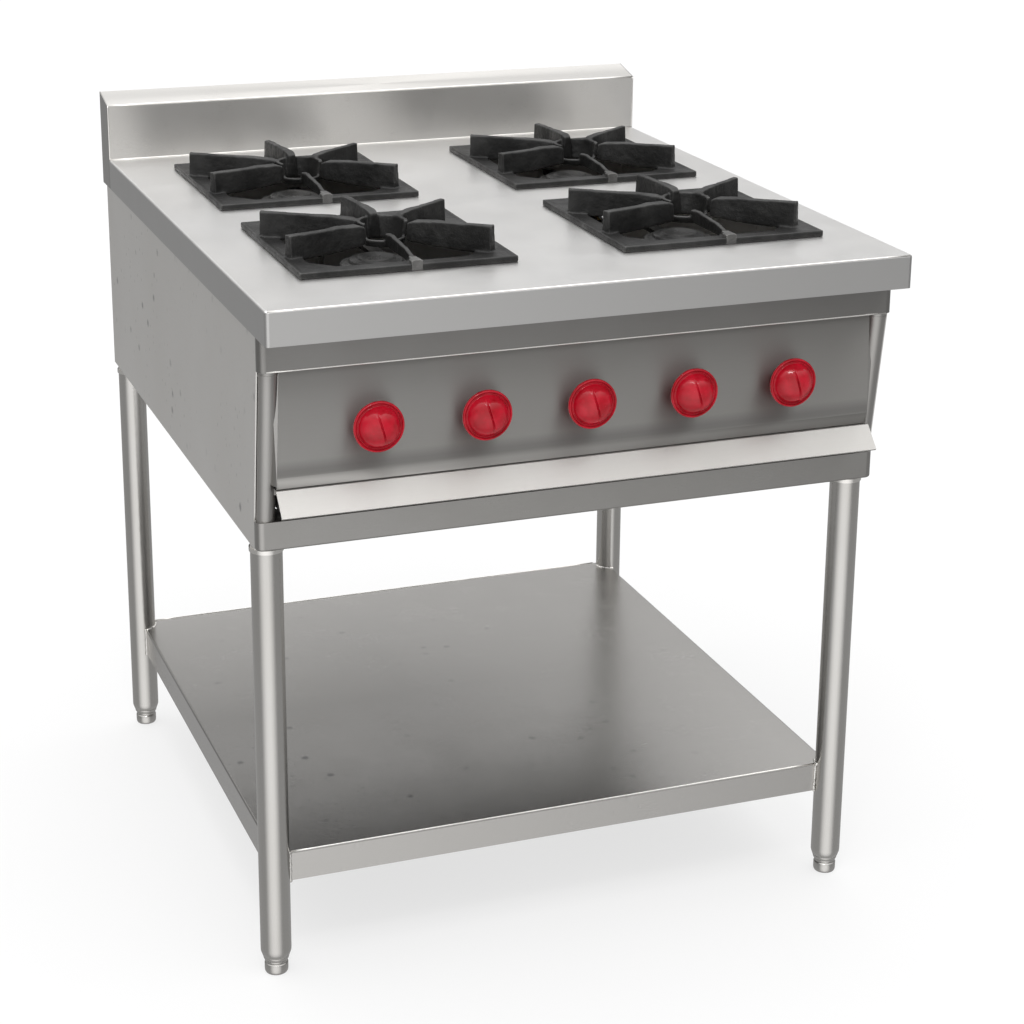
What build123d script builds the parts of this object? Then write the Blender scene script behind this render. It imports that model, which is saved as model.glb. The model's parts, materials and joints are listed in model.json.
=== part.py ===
from build123d import *
import os

# Commercial gas range on four tubular legs. Millimetres, +Z up, front towards -Y.
# The origin is on the floor, under the middle of the range.

os.makedirs("parts", exist_ok=True)

# Driving dimensions
WIDTH = 800
DEPTH = 900
TOP_Z = 870
SHEET = 1.5
FASCIA = 41
UPSTAND_DEPTH = 50
UPSTAND_HEIGHT = 77
UPSTAND_RISE = 12

RAIL_BOTTOM = 566
RAIL_HEIGHT = 35
APRON_HEIGHT = 41
APRON_SETBACK = 40
RAIL_SETBACK = 66
BACK_SETBACK = 18
PANEL_SETBACK = 50
PANEL_HALF_WIDTH = 372.3
PANEL_SPLAY = 5
PANEL_BOTTOM = 645

LEG_RADIUS = 19
LEG_X = 379
LEG_FRONT_SETBACK = 100
LEG_REAR_SETBACK = 42
LEG_BOTTOM = 24
LEG_TOP = 556

SHELF_TOP = 158
SHELF_LIP = 39

BURNER_LEFT_X = -194
BURNER_RIGHT_X = 208
BURNER_FRONT_Y = -195
BURNER_REAR_Y = 176
GRATE_WIDTH = 267
GRATE_LENGTH = 272
CUTOUT_WIDTH = 234
CUTOUT_LENGTH = 238

KNOB_PITCH = 131
KNOB_Z = 715
KNOB_RADIUS = 30.5
STEM_RADIUS = 4

# Worked out from the driving dimensions
FRONT = -DEPTH / 2
BACK = DEPTH / 2
SIDE = WIDTH / 2
FASCIA_BOTTOM = TOP_Z - FASCIA
INNER_SIDE = SIDE - SHEET
PANEL_SIDE = INNER_SIDE - SHEET
UPSTAND_FRONT = BACK - UPSTAND_DEPTH
APRON_Y = FRONT + APRON_SETBACK
APRON_BOTTOM = FASCIA_BOTTOM - APRON_HEIGHT
RAIL_Y = FRONT + RAIL_SETBACK
RAIL_TOP = RAIL_BOTTOM + RAIL_HEIGHT
CABINET_BACK = BACK - BACK_SETBACK
CABINET_TOP = TOP_Z - SHEET - 2.5
PANEL_Y = FRONT + PANEL_SETBACK
LEG_FRONT_Y = FRONT + LEG_FRONT_SETBACK
LEG_REAR_Y = BACK - LEG_REAR_SETBACK
LEG_BORE = LEG_RADIUS - SHEET
CORNERS = {
    "front_left": (-LEG_X, LEG_FRONT_Y),
    "front_right": (LEG_X, LEG_FRONT_Y),
    "rear_left": (-LEG_X, LEG_REAR_Y),
    "rear_right": (LEG_X, LEG_REAR_Y),
}
BURNERS = {
    "front_left": (BURNER_LEFT_X, BURNER_FRONT_Y),
    "front_right": (BURNER_RIGHT_X, BURNER_FRONT_Y),
    "rear_left": (BURNER_LEFT_X, BURNER_REAR_Y),
    "rear_right": (BURNER_RIGHT_X, BURNER_REAR_Y),
}
KNOB_X = [KNOB_PITCH * step for step in (-2, -1, 0, 1, 2)]
# The valve that feeds each burner, by its place along the panel.
VALVE_OF = {"front_left": -2, "rear_left": -1, "rear_right": 1, "front_right": 2}


def save(piece, name):
    """Labels a finished piece and writes its STEP file."""
    piece.label = name
    export_step(piece, f"parts/{name}.step")


def add_box(x, y, z):
    """Adds a box to the current part, given its low and high limits along each axis."""
    with Locations(((x[0] + x[1]) / 2, (y[0] + y[1]) / 2, (z[0] + z[1]) / 2)):
        Box(x[1] - x[0], y[1] - y[0], z[1] - z[0])


def folded_sheet(points, x_low, x_high):
    """Makes a sheet folded along (y, z) points, thickened to the right of its run, between two X limits."""
    with BuildPart() as sheet:
        with BuildSketch(Plane.YZ.offset(x_low)):
            with BuildLine():
                Polyline(*points)
                offset(amount=SHEET, side=Side.RIGHT, kind=Kind.INTERSECTION)
            make_face()
        extrude(amount=x_high - x_low)
    return sheet.part


# Worktop: one sheet folded down at the front and both sides, with a cut-out over each burner
with BuildPart() as worktop:
    with BuildSketch(Plane.XY.offset(FASCIA_BOTTOM)):
        with Locations((0, (FRONT + UPSTAND_FRONT) / 2)):
            Rectangle(WIDTH, DEPTH - UPSTAND_DEPTH)
    extrude(amount=FASCIA)
    front_corners = worktop.edges().filter_by(Axis.Z).group_by(Axis.Y)[0]
    fillet(front_corners, radius=5)
    top_edges = worktop.faces().sort_by(Axis.Z)[-1].edges()
    fillet(top_edges.sort_by(Axis.Y)[:-1], radius=3)
    underside = worktop.faces().sort_by(Axis.Z)[0]
    rear_end = worktop.faces().sort_by(Axis.Y)[-1]
    offset(amount=-SHEET, openings=[underside, rear_end])
    with BuildSketch(Plane.XY.offset(TOP_Z)):
        with Locations(*BURNERS.values()):
            RectangleRounded(CUTOUT_WIDTH, CUTOUT_LENGTH, 12)
    extrude(amount=-SHEET * 2, mode=Mode.SUBTRACT)
save(worktop.part, "worktop")


# Backsplash: a folded box behind the worktop, with a sloped top and an open bottom
with BuildPart() as backsplash:
    with BuildSketch(Plane.YZ.offset(-SIDE)):
        with BuildLine():
            Polyline(
                (UPSTAND_FRONT, FASCIA_BOTTOM),
                (BACK, FASCIA_BOTTOM),
                (BACK, TOP_Z + UPSTAND_HEIGHT + UPSTAND_RISE),
                (UPSTAND_FRONT, TOP_Z + UPSTAND_HEIGHT),
                close=True,
            )
        make_face()
    extrude(amount=WIDTH)
    rim = backsplash.faces().sort_by(Axis.Y)[0].edges().sort_by(Axis.Z)[1:]
    fillet(rim, radius=2.5)
    offset(amount=-SHEET, openings=[backsplash.faces().sort_by(Axis.Z)[0]])
    with BuildSketch(Plane.XZ.offset(-UPSTAND_FRONT)):
        with Locations((0, FASCIA_BOTTOM)):
            Rectangle(2 * INNER_SIDE, 2 * (CABINET_TOP - FASCIA_BOTTOM))
    extrude(amount=-SHEET, mode=Mode.SUBTRACT)
save(backsplash.part, "backsplash")


# Cabinet sides: their front edges lean back from the apron to the lower rail
RAIL_WRAP = 11
RAIL_CORNER = 9
for side_name, side_x in (("left", -INNER_SIDE), ("right", PANEL_SIDE)):
    with BuildPart() as cabinet_side:
        with BuildSketch(Plane.YZ.offset(side_x)):
            with BuildLine():
                Polyline(
                    (APRON_Y + RAIL_WRAP, CABINET_TOP),
                    (APRON_Y + RAIL_WRAP, APRON_BOTTOM),
                    (RAIL_Y + RAIL_WRAP, RAIL_TOP),
                    (RAIL_Y + RAIL_WRAP, RAIL_BOTTOM),
                    (CABINET_BACK, RAIL_BOTTOM),
                    (CABINET_BACK, CABINET_TOP),
                    close=True,
                )
            make_face()
        extrude(amount=SHEET)
    save(cabinet_side.part, f"cabinet_side_{side_name}")


# Cabinet back: a sheet between the sides with two rows of vents and the gas inlet's hole
INLET_X = 330
INLET_Z = 690
INLET_HOLE_RADIUS = 13
VENT_Z = 632
with BuildPart() as cabinet_back:
    add_box(
        (-PANEL_SIDE, PANEL_SIDE), (CABINET_BACK - SHEET, CABINET_BACK), (RAIL_BOTTOM, CABINET_TOP)
    )
    with BuildSketch(Plane.XZ.offset(-CABINET_BACK)):
        with Locations((0, VENT_Z)):
            with GridLocations(110, 26, 5, 2):
                SlotOverall(80, 8)
        with Locations((INLET_X, INLET_Z)):
            Circle(INLET_HOLE_RADIUS)
    extrude(amount=SHEET * 2, both=True, mode=Mode.SUBTRACT)
save(cabinet_back.part, "cabinet_back")


def wrapped_rail(face_y, bottom, top, bottom_radius, shelf_z, shelf_depth):
    """Makes a front rail: a face with rounded ends, and one inner shelf that runs back from it."""
    with BuildPart() as rail:
        add_box((-INNER_SIDE, INNER_SIDE), (face_y, face_y + RAIL_WRAP), (bottom, top))
        fillet(rail.edges().filter_by(Axis.Z).group_by(Axis.Y)[0], radius=RAIL_CORNER)
        if bottom_radius:
            bottom_face = rail.faces().sort_by(Axis.Z)[0]
            fillet(bottom_face.edges().sort_by(Axis.Y)[:3], radius=bottom_radius)
        offset(amount=-SHEET, openings=[rail.faces().sort_by(Axis.Y)[-1]])
        shelf_end = INNER_SIDE - RAIL_CORNER
        add_box((-shelf_end, shelf_end), (face_y + SHEET, face_y + shelf_depth), shelf_z)
    return rail.part


# Upper front rail, which closes the cabinet under the fascia, and the lower front rail
save(
    wrapped_rail(APRON_Y, APRON_BOTTOM, CABINET_TOP, 0, (APRON_BOTTOM, APRON_BOTTOM + SHEET), 42),
    "upper_front_rail",
)
save(
    wrapped_rail(RAIL_Y, RAIL_BOTTOM, RAIL_TOP, 3, (RAIL_TOP - SHEET, RAIL_TOP), 44),
    "lower_front_rail",
)


# Lower rear rail: an angle on the inside of the cabinet back, standing on the leg sockets
SOCKET_PLATE = 5
with BuildPart() as lower_rear_rail:
    rear_face = CABINET_BACK - SHEET
    angle_run = [
        (rear_face, RAIL_TOP),
        (rear_face, RAIL_BOTTOM + SOCKET_PLATE),
        (rear_face - 20, RAIL_BOTTOM + SOCKET_PLATE),
    ]
    add(folded_sheet(angle_run, -PANEL_SIDE, PANEL_SIDE))
save(lower_rear_rail.part, "lower_rear_rail")


# Corner tubes: one at each end of the control panel, leaning from the apron to the lower rail
TUBE_RADIUS = 11.6
TUBE_X = PANEL_SIDE - TUBE_RADIUS - 0.5
RING_PROUD = 0.4
TUBE_TOP = Vector(TUBE_X, APRON_Y + TUBE_RADIUS + 1.5, APRON_BOTTOM)
TUBE_FOOT = Vector(TUBE_X, RAIL_Y + TUBE_RADIUS + 1.5, RAIL_TOP)
with BuildPart() as corner_tubes:
    lean = (TUBE_TOP - TUBE_FOOT).normalized()
    overrun = 10
    for hand in (-1, 1):
        foot = Vector(hand * TUBE_X, TUBE_FOOT.Y, TUBE_FOOT.Z) - lean * overrun
        with BuildSketch(Plane(origin=foot, x_dir=(1, 0, 0), z_dir=lean)):
            Circle(TUBE_RADIUS)
            Circle(TUBE_RADIUS - SHEET, mode=Mode.SUBTRACT)
        extrude(amount=(TUBE_TOP - TUBE_FOOT).length + 2 * overrun)
        ring = Vector(hand * TUBE_X, TUBE_TOP.Y, TUBE_TOP.Z) - lean * 6
        with BuildSketch(Plane(origin=ring, x_dir=(1, 0, 0), z_dir=lean)):
            Circle(TUBE_RADIUS + RING_PROUD)
            Circle(TUBE_RADIUS - SHEET, mode=Mode.SUBTRACT)
        extrude(amount=3)
    split(bisect_by=Plane.XY.offset(RAIL_TOP), keep=Keep.TOP)
    split(bisect_by=Plane.XY.offset(APRON_BOTTOM), keep=Keep.BOTTOM)
save(corner_tubes.part, "corner_tubes")


# Control panel: a sheet folded back at the bottom, hemmed at both ends and a little wider at its foot
PANEL_RETURN = 9
PANEL_HEM = 4
PANEL_EASE = 14
STEM_HOLE_RADIUS = 7
PANEL_FOOT_HALF_WIDTH = PANEL_HALF_WIDTH + PANEL_SPLAY
with BuildPart() as control_panel:
    panel_run = [
        (PANEL_Y + PANEL_RETURN, PANEL_BOTTOM),
        (PANEL_Y + 3, PANEL_BOTTOM),
        (PANEL_Y, PANEL_BOTTOM + PANEL_EASE),
        (PANEL_Y, APRON_BOTTOM),
    ]
    add(folded_sheet(panel_run, -PANEL_FOOT_HALF_WIDTH, PANEL_FOOT_HALF_WIDTH))
    for hand in (-1, 1):
        with BuildSketch(Plane.XZ.offset(-PANEL_Y - SHEET)):
            with BuildLine():
                Polyline(
                    (hand * PANEL_HALF_WIDTH, APRON_BOTTOM),
                    (hand * (PANEL_HALF_WIDTH - SHEET), APRON_BOTTOM),
                    (hand * (PANEL_FOOT_HALF_WIDTH - SHEET), PANEL_BOTTOM + SHEET),
                    (hand * PANEL_FOOT_HALF_WIDTH, PANEL_BOTTOM + SHEET),
                    close=True,
                )
            make_face()
        extrude(amount=SHEET - PANEL_HEM)
    with BuildSketch(Plane.XZ.offset(-PANEL_Y)):
        with BuildLine():
            Polyline(
                (-PANEL_HALF_WIDTH, APRON_BOTTOM),
                (PANEL_HALF_WIDTH, APRON_BOTTOM),
                (PANEL_FOOT_HALF_WIDTH, PANEL_BOTTOM),
                (-PANEL_FOOT_HALF_WIDTH, PANEL_BOTTOM),
                close=True,
            )
        make_face()
    extrude(amount=PANEL_RETURN, both=True, mode=Mode.INTERSECT)
    with BuildSketch(Plane.XZ.offset(-PANEL_Y)):
        with Locations(*[(x, KNOB_Z) for x in KNOB_X]):
            Circle(STEM_HOLE_RADIUS)
    extrude(amount=SHEET * 2, both=True, mode=Mode.SUBTRACT)
save(control_panel.part, "control_panel")


# Legs, the collar ring on top of each, the sockets inside the cabinet and the threaded end plugs
STEM_THREAD_RADIUS = 6
FOOT_CLEARANCE = 0.06
SOCKET_DEPTH = 40
PLUG_LENGTH = 28
PLUG_NOSE = 5
PLUG_NOSE_RADIUS = 15.5
for corner, (leg_x, leg_y) in CORNERS.items():
    with BuildPart() as leg:
        with BuildSketch(Plane.XY.offset(LEG_BOTTOM)):
            with Locations((leg_x, leg_y)):
                Circle(LEG_RADIUS)
                Circle(LEG_BORE, mode=Mode.SUBTRACT)
        extrude(amount=LEG_TOP - LEG_BOTTOM)
    save(leg.part, f"leg_{corner}")

COLLAR_SPLIT = 5
COLLAR_PROUD = 1.5
with BuildPart() as leg_collars:
    with BuildSketch(Plane.XY.offset(LEG_TOP)):
        with Locations(*CORNERS.values()):
            Circle(LEG_RADIUS + COLLAR_PROUD)
            Circle(LEG_BORE, mode=Mode.SUBTRACT)
    extrude(amount=COLLAR_SPLIT)
    with BuildSketch(Plane.XY.offset(LEG_TOP + COLLAR_SPLIT)):
        with Locations(*CORNERS.values()):
            Circle(LEG_RADIUS)
            Circle(LEG_BORE, mode=Mode.SUBTRACT)
    extrude(amount=RAIL_BOTTOM - LEG_TOP - COLLAR_SPLIT)
save(leg_collars.part, "leg_collars")

with BuildPart() as leg_sockets:
    with BuildSketch(Plane.XY.offset(LEG_TOP - SOCKET_DEPTH)):
        with Locations(*CORNERS.values()):
            Circle(LEG_BORE - 0.1)
    extrude(amount=RAIL_BOTTOM - LEG_TOP + SOCKET_DEPTH)
    for leg_x, leg_y in CORNERS.values():
        inner_x = -PANEL_SIDE if leg_x < 0 else PANEL_SIDE - 60
        add_box(
            (inner_x, inner_x + 60),
            (leg_y - 21, leg_y + 21),
            (RAIL_BOTTOM, RAIL_BOTTOM + SOCKET_PLATE),
        )
save(leg_sockets.part, "leg_sockets")

with BuildPart() as leg_end_plugs:
    for leg_x, leg_y in CORNERS.values():
        plug_plane = Plane(origin=(leg_x, leg_y, 0), x_dir=(1, 0, 0), z_dir=(0, -1, 0))
        with BuildSketch(plug_plane):
            bore = STEM_THREAD_RADIUS + FOOT_CLEARANCE
            with BuildLine():
                Polyline(
                    (bore, LEG_BOTTOM - PLUG_NOSE),
                    (PLUG_NOSE_RADIUS, LEG_BOTTOM - PLUG_NOSE),
                    (LEG_RADIUS - 0.4, LEG_BOTTOM),
                    (LEG_BORE - 0.1, LEG_BOTTOM),
                    (LEG_BORE - 0.1, LEG_BOTTOM + PLUG_LENGTH),
                    (bore, LEG_BOTTOM + PLUG_LENGTH),
                    close=True,
                )
            make_face()
        revolve(axis=Axis((leg_x, leg_y, 0), (0, 0, 1)))
save(leg_end_plugs.part, "leg_end_plugs")


# Adjustable feet: a disc, a short neck and a threaded stem that screws into the plug
FOOT_RADIUS = 14.6
FOOT_HEIGHT = 14
FOOT_NECK_RADIUS = 11
FOOT_NECK_TOP = 18.6
FOOT_STEM_TOP = 62
for corner, (leg_x, leg_y) in CORNERS.items():
    with BuildPart() as foot_part:
        with BuildSketch(Plane(origin=(leg_x, leg_y, 0), x_dir=(1, 0, 0), z_dir=(0, -1, 0))):
            with BuildLine():
                Polyline(
                    (0, 0),
                    (FOOT_RADIUS - 3, 0),
                    (FOOT_RADIUS, 3),
                    (FOOT_RADIUS, FOOT_HEIGHT),
                    (FOOT_NECK_RADIUS, FOOT_HEIGHT),
                    (FOOT_NECK_RADIUS, FOOT_NECK_TOP),
                    (STEM_THREAD_RADIUS, FOOT_NECK_TOP),
                    (STEM_THREAD_RADIUS, FOOT_STEM_TOP),
                    (0, FOOT_STEM_TOP),
                    close=True,
                )
            make_face()
        revolve(axis=Axis((leg_x, leg_y, 0), (0, 0, 1)))
    save(foot_part.part, f"foot_{corner}")


# Undershelf: a tray folded down on four sides, with its corners cut round the legs
SHELF_X = LEG_X - 1
SHELF_FRONT = LEG_FRONT_Y + 2
SHELF_REAR = LEG_REAR_Y + 12
with BuildPart() as undershelf:
    add_box((-SHELF_X, SHELF_X), (SHELF_FRONT, SHELF_REAR), (SHELF_TOP - SHELF_LIP, SHELF_TOP))
    fillet(undershelf.faces().sort_by(Axis.Z)[-1].edges(), radius=3)
    offset(amount=-SHEET, openings=[undershelf.faces().sort_by(Axis.Z)[0]])
    with BuildSketch(Plane.XY.offset(SHELF_TOP + 1)):
        with Locations(*CORNERS.values()):
            Circle(LEG_RADIUS + 0.05)
    extrude(amount=-SHELF_LIP - 2, mode=Mode.SUBTRACT)
# The cuts leave four loose scraps outside the legs, so only the tray itself is kept.
save(undershelf.solids().sort_by(SortBy.VOLUME)[-1], "undershelf")

# Undershelf stiffener: a shallow hat channel under the middle of the shelf
HAT_HALF_WIDTH = 30
HAT_SLOPE = 5
HAT_FLANGE = 25
HAT_DEPTH = 24
HAT_END_GAP = 30
with BuildPart() as shelf_stiffener:
    hat_top = SHELF_TOP - SHEET
    hat_foot = HAT_HALF_WIDTH + HAT_SLOPE
    with BuildSketch(Plane.XZ.offset(-SHELF_FRONT - HAT_END_GAP)):
        with BuildLine():
            Polyline(
                (-hat_foot - HAT_FLANGE, hat_top),
                (-hat_foot, hat_top),
                (-HAT_HALF_WIDTH, hat_top - HAT_DEPTH),
                (HAT_HALF_WIDTH, hat_top - HAT_DEPTH),
                (hat_foot, hat_top),
                (hat_foot + HAT_FLANGE, hat_top),
            )
            offset(amount=SHEET, side=Side.RIGHT, kind=Kind.INTERSECTION)
        make_face()
    extrude(amount=-(SHELF_REAR - SHELF_FRONT - 2 * HAT_END_GAP))
save(shelf_stiffener.part, "undershelf_stiffener")


# Drip tray: a flat pan that slides on two runners, with a sloped flange along its front to pull it by
TRAY_HALF_WIDTH = 366
TRAY_FLOOR = RAIL_TOP + 5
TRAY_RIM = PANEL_BOTTOM - 8
TRAY_FRONT = RAIL_Y - 8
TRAY_REAR = 385
LIP_TOP = PANEL_BOTTOM - 1
LIP_DROP = 25
LIP_HALF_WIDTH = 379
with BuildPart() as drip_tray:
    add_box((-TRAY_HALF_WIDTH, TRAY_HALF_WIDTH), (TRAY_FRONT, TRAY_REAR), (TRAY_FLOOR, TRAY_RIM))
    offset(amount=-SHEET, openings=[drip_tray.faces().sort_by(Axis.Z)[-1]])
    lip_run = [
        (PANEL_Y - LIP_DROP + 2, LIP_TOP - LIP_DROP - 2),
        (PANEL_Y - LIP_DROP, LIP_TOP - LIP_DROP),
        (PANEL_Y - 1, LIP_TOP),
        (TRAY_FRONT + SHEET, LIP_TOP),
        (TRAY_FRONT + SHEET, TRAY_RIM - 0.1),
    ]
    add(folded_sheet(lip_run, -LIP_HALF_WIDTH, LIP_HALF_WIDTH))
save(drip_tray.part, "drip_tray")

# Tray runners: an angle on each side sheet, just under the tray
RUNNER_TOP = TRAY_FLOOR - 0.3
RUNNER_THICK = 2
RUNNER_HEIGHT = 24
RUNNER_INNER_X = TRAY_HALF_WIDTH - 8
with BuildPart() as tray_runners:
    runner_y = (LEG_FRONT_Y + 8, TRAY_REAR)
    for hand in (-1, 1):
        inner, outer, web = (hand * x for x in (RUNNER_INNER_X, PANEL_SIDE, PANEL_SIDE - RUNNER_THICK))
        add_box(sorted((inner, outer)), runner_y, (RUNNER_TOP - RUNNER_THICK, RUNNER_TOP))
        add_box(sorted((web, outer)), runner_y, (RUNNER_TOP, RUNNER_TOP + RUNNER_HEIGHT - RUNNER_THICK))
save(tray_runners.part, "tray_runners")


# Burner support rails: four flat bars from the apron to the cabinet back
BURNER_BED = 806
BAR_SPREAD = 68
with BuildPart() as burner_support_rails:
    for centre_x in (BURNER_LEFT_X, BURNER_RIGHT_X):
        for bar_x in (centre_x - BAR_SPREAD, centre_x + BAR_SPREAD):
            add_box(
                (bar_x - 9, bar_x + 9),
                (APRON_Y + SHEET, CABINET_BACK - SHEET),
                (BURNER_BED - 6, BURNER_BED),
            )
save(burner_support_rails.part, "burner_support_rails")


# Burners: a bowl on two lugs with a mixing tube towards the front, a lift-off cap and an air shutter
BOWL_RADIUS = 46
BOWL_WALL = 4
BOWL_BOTTOM = 799
BOWL_TOP = 842
MIX_Z = 820
MIX_RADIUS = 14
MIX_BORE = 10.5
MIX_REACH = 100
SHUTTER_CLEARANCE = 0.3
CAP_RADIUS = 41
CAP_LIFT = 0.3


def vertical_profile(centre):
    """A plane through a burner's axis, with its sketch X outwards and its sketch Y upwards."""
    return Plane(origin=(*centre, 0), x_dir=(1, 0, 0), z_dir=(0, -1, 0))


def burner_body(centre):
    """Makes one burner: an open bowl, its mixing tube with two air windows, and two lugs."""
    x, y = centre
    with BuildPart() as body:
        with BuildSketch(Plane.XY.offset(BOWL_BOTTOM)):
            with Locations(centre):
                Circle(BOWL_RADIUS)
        extrude(amount=BOWL_TOP - BOWL_BOTTOM)
        with BuildSketch(Plane.XZ.offset(-(y - BOWL_RADIUS + 8))):
            with Locations((x, MIX_Z)):
                Circle(MIX_RADIUS)
        extrude(amount=MIX_REACH - BOWL_RADIUS + 8)
        lug_reach = BAR_SPREAD + 9
        add_box((x - lug_reach, x + lug_reach), (y - 9, y + 9), (BURNER_BED, BURNER_BED + 6))
        with BuildSketch(Plane.XY.offset(BOWL_BOTTOM + BOWL_WALL)):
            with Locations(centre):
                Circle(BOWL_RADIUS - BOWL_WALL)
        extrude(amount=BOWL_TOP - BOWL_BOTTOM, mode=Mode.SUBTRACT)
        with BuildSketch(Plane.XZ.offset(-y)):
            with Locations((x, MIX_Z)):
                Circle(MIX_BORE)
        extrude(amount=MIX_REACH + 1, mode=Mode.SUBTRACT)
        with Locations((x, y - MIX_REACH + 9, MIX_Z)):
            Box(2 * MIX_RADIUS + 2, 7, 9, mode=Mode.SUBTRACT)
    return body.part


def burner_cap(centre):
    """Makes one stepped cap: a skirt inside the bowl under three round steps."""
    with BuildPart() as cap:
        with BuildSketch(vertical_profile(centre)):
            with BuildLine():
                Polyline(
                    (0, BOWL_TOP + CAP_LIFT),
                    (BOWL_RADIUS - BOWL_WALL - 5, BOWL_TOP + CAP_LIFT),
                    (BOWL_RADIUS - BOWL_WALL - 5, BOWL_TOP - 8),
                    (BOWL_RADIUS - BOWL_WALL - 1, BOWL_TOP - 8),
                    (BOWL_RADIUS - BOWL_WALL - 1, BOWL_TOP + CAP_LIFT),
                    (CAP_RADIUS + 4, BOWL_TOP + CAP_LIFT),
                    (CAP_RADIUS + 4, BOWL_TOP + 5),
                    (CAP_RADIUS - 8, BOWL_TOP + 7),
                    (CAP_RADIUS - 8, BOWL_TOP + 11),
                    (CAP_RADIUS - 18, BOWL_TOP + 12),
                    (CAP_RADIUS - 18, BOWL_TOP + 14),
                    (0, BOWL_TOP + 15),
                    close=True,
                )
            make_face()
        revolve(axis=Axis((*centre, 0), (0, 0, 1)))
    return cap.part


def air_shutter(centre):
    """Makes one air shutter: a sleeve on the mixing tube's mouth with a window on each side."""
    x, y = centre
    with BuildPart() as shutter:
        with BuildSketch(Plane.XZ.offset(MIX_REACH - y - 16)):
            with Locations((x, MIX_Z)):
                Circle(MIX_RADIUS + 2.3)
                Circle(MIX_RADIUS + SHUTTER_CLEARANCE, mode=Mode.SUBTRACT)
        extrude(amount=14)
        with Locations((x, y - MIX_REACH + 9, MIX_Z)):
            Box(2 * MIX_RADIUS + 8, 7, 9, mode=Mode.SUBTRACT)
    return shutter.part


for place, burner_centre in BURNERS.items():
    save(burner_body(burner_centre), f"burner_body_{place}")
    save(burner_cap(burner_centre), f"burner_cap_{place}")
    save(air_shutter(burner_centre), f"air_shutter_{place}")


# Grates: a plate frame with six fins that stand on it and meet at an open ring
GRATE_BED = TOP_Z + 0.3
FRAME_THICK = 6
FIN_TOP = TOP_Z + 39
RING_RADIUS = 30
RING_WALL = 7
FIN_THICK = 12
FIN_ENDS = {92: 120, 27: 116, 154: 142, 205: 138, 317: 150}


def grate(centre):
    """Makes one pan support over a burner."""
    x, y = centre
    frame_top = GRATE_BED + FRAME_THICK
    with BuildPart() as support:
        with BuildSketch(Plane.XY.offset(GRATE_BED)):
            with Locations(centre):
                RectangleRounded(GRATE_WIDTH, GRATE_LENGTH, 8)
            with BuildSketch(mode=Mode.PRIVATE) as opening:
                with Locations(centre):
                    Rectangle(GRATE_WIDTH - 50, GRATE_LENGTH - 50)
                chamfer(opening.vertices(), length=34)
            add(opening.sketch, mode=Mode.SUBTRACT)
        extrude(amount=FRAME_THICK)
        for angle, reach in FIN_ENDS.items():
            outward = Vector(1, 0, 0).rotate(Axis.Z, angle)
            across = Vector(0, 0, 1).cross(outward)
            with BuildSketch(Plane(origin=(x, y, 0), x_dir=outward, z_dir=across * -1)):
                with BuildLine():
                    Polyline(
                        (RING_RADIUS - 4, frame_top - 4),
                        (reach, frame_top - 4),
                        (reach, FIN_TOP),
                        (RING_RADIUS + 18, FIN_TOP - 8),
                        (RING_RADIUS - 4, FIN_TOP - 6),
                        close=True,
                    )
                make_face()
            extrude(amount=FIN_THICK / 2, both=True)
        with BuildSketch(Plane(origin=(x, y, 0), x_dir=(0, -1, 0), z_dir=(-1, 0, 0))):
            front_edge = GRATE_LENGTH / 2
            with BuildLine():
                Polyline(
                    (RING_RADIUS - 4, frame_top - 4),
                    (front_edge, frame_top - 4),
                    (front_edge, frame_top + 5),
                    (front_edge - 12, frame_top + 8),
                    (RING_RADIUS + 8, FIN_TOP - 7),
                    (RING_RADIUS - 4, FIN_TOP - 6),
                    close=True,
                )
            make_face()
        extrude(amount=3, both=True)
        with BuildSketch(Plane.XY.offset(frame_top - 4)):
            with Locations(centre):
                Circle(RING_RADIUS)
        extrude(amount=FIN_TOP - frame_top + 4)
        with BuildSketch(Plane.XY.offset(frame_top - 5)):
            with Locations(centre):
                Circle(RING_RADIUS - RING_WALL)
        extrude(amount=FIN_TOP - frame_top + 6, mode=Mode.SUBTRACT)
    return support.part


for place, burner_centre in BURNERS.items():
    save(grate(burner_centre), f"grate_{place}")


# Knobs: a beaded skirt with a dome and a grip ridge, each on its own stem
KNOB_BACK = PANEL_Y - 2.5
KNOB_DEPTH = 40
STEM_FRONT = KNOB_BACK - 24
RIDGE_START = 22
STEM_REAR = PANEL_Y + 34


def knob(x):
    """Makes one control knob in its OFF position, with its ridge upright."""
    with BuildPart() as handle:
        with BuildSketch(Plane(origin=(x, KNOB_BACK, KNOB_Z), x_dir=(1, 0, 0), z_dir=(0, 0, 1))):
            with BuildLine():
                Polyline(
                    (0, 0),
                    (KNOB_RADIUS - 10, 0),
                    (KNOB_RADIUS - 8, -9),
                    (KNOB_RADIUS - 1, -14),
                    (KNOB_RADIUS, -16),
                    (KNOB_RADIUS - 1, -19),
                    (KNOB_RADIUS - 4, -20),
                )
                Spline((KNOB_RADIUS - 4, -20), (18, -28), (0, -31), tangents=[(-0.3, -1), (-1, 0)])
                Line((0, -31), (0, 0))
            make_face()
        revolve(axis=Axis((x, 0, KNOB_Z), (0, 1, 0)))
        with BuildSketch(Plane.XZ.offset(-(KNOB_BACK - RIDGE_START))):
            with Locations((x, KNOB_Z)):
                SlotOverall(2 * KNOB_RADIUS - 12, 9, rotation=90)
        extrude(amount=KNOB_DEPTH - RIDGE_START, taper=4)
        with BuildSketch(Plane.XZ.offset(-KNOB_BACK)):
            with Locations((x, KNOB_Z)):
                Circle(STEM_RADIUS + 0.05)
        extrude(amount=25, mode=Mode.SUBTRACT)
    return handle.part


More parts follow.
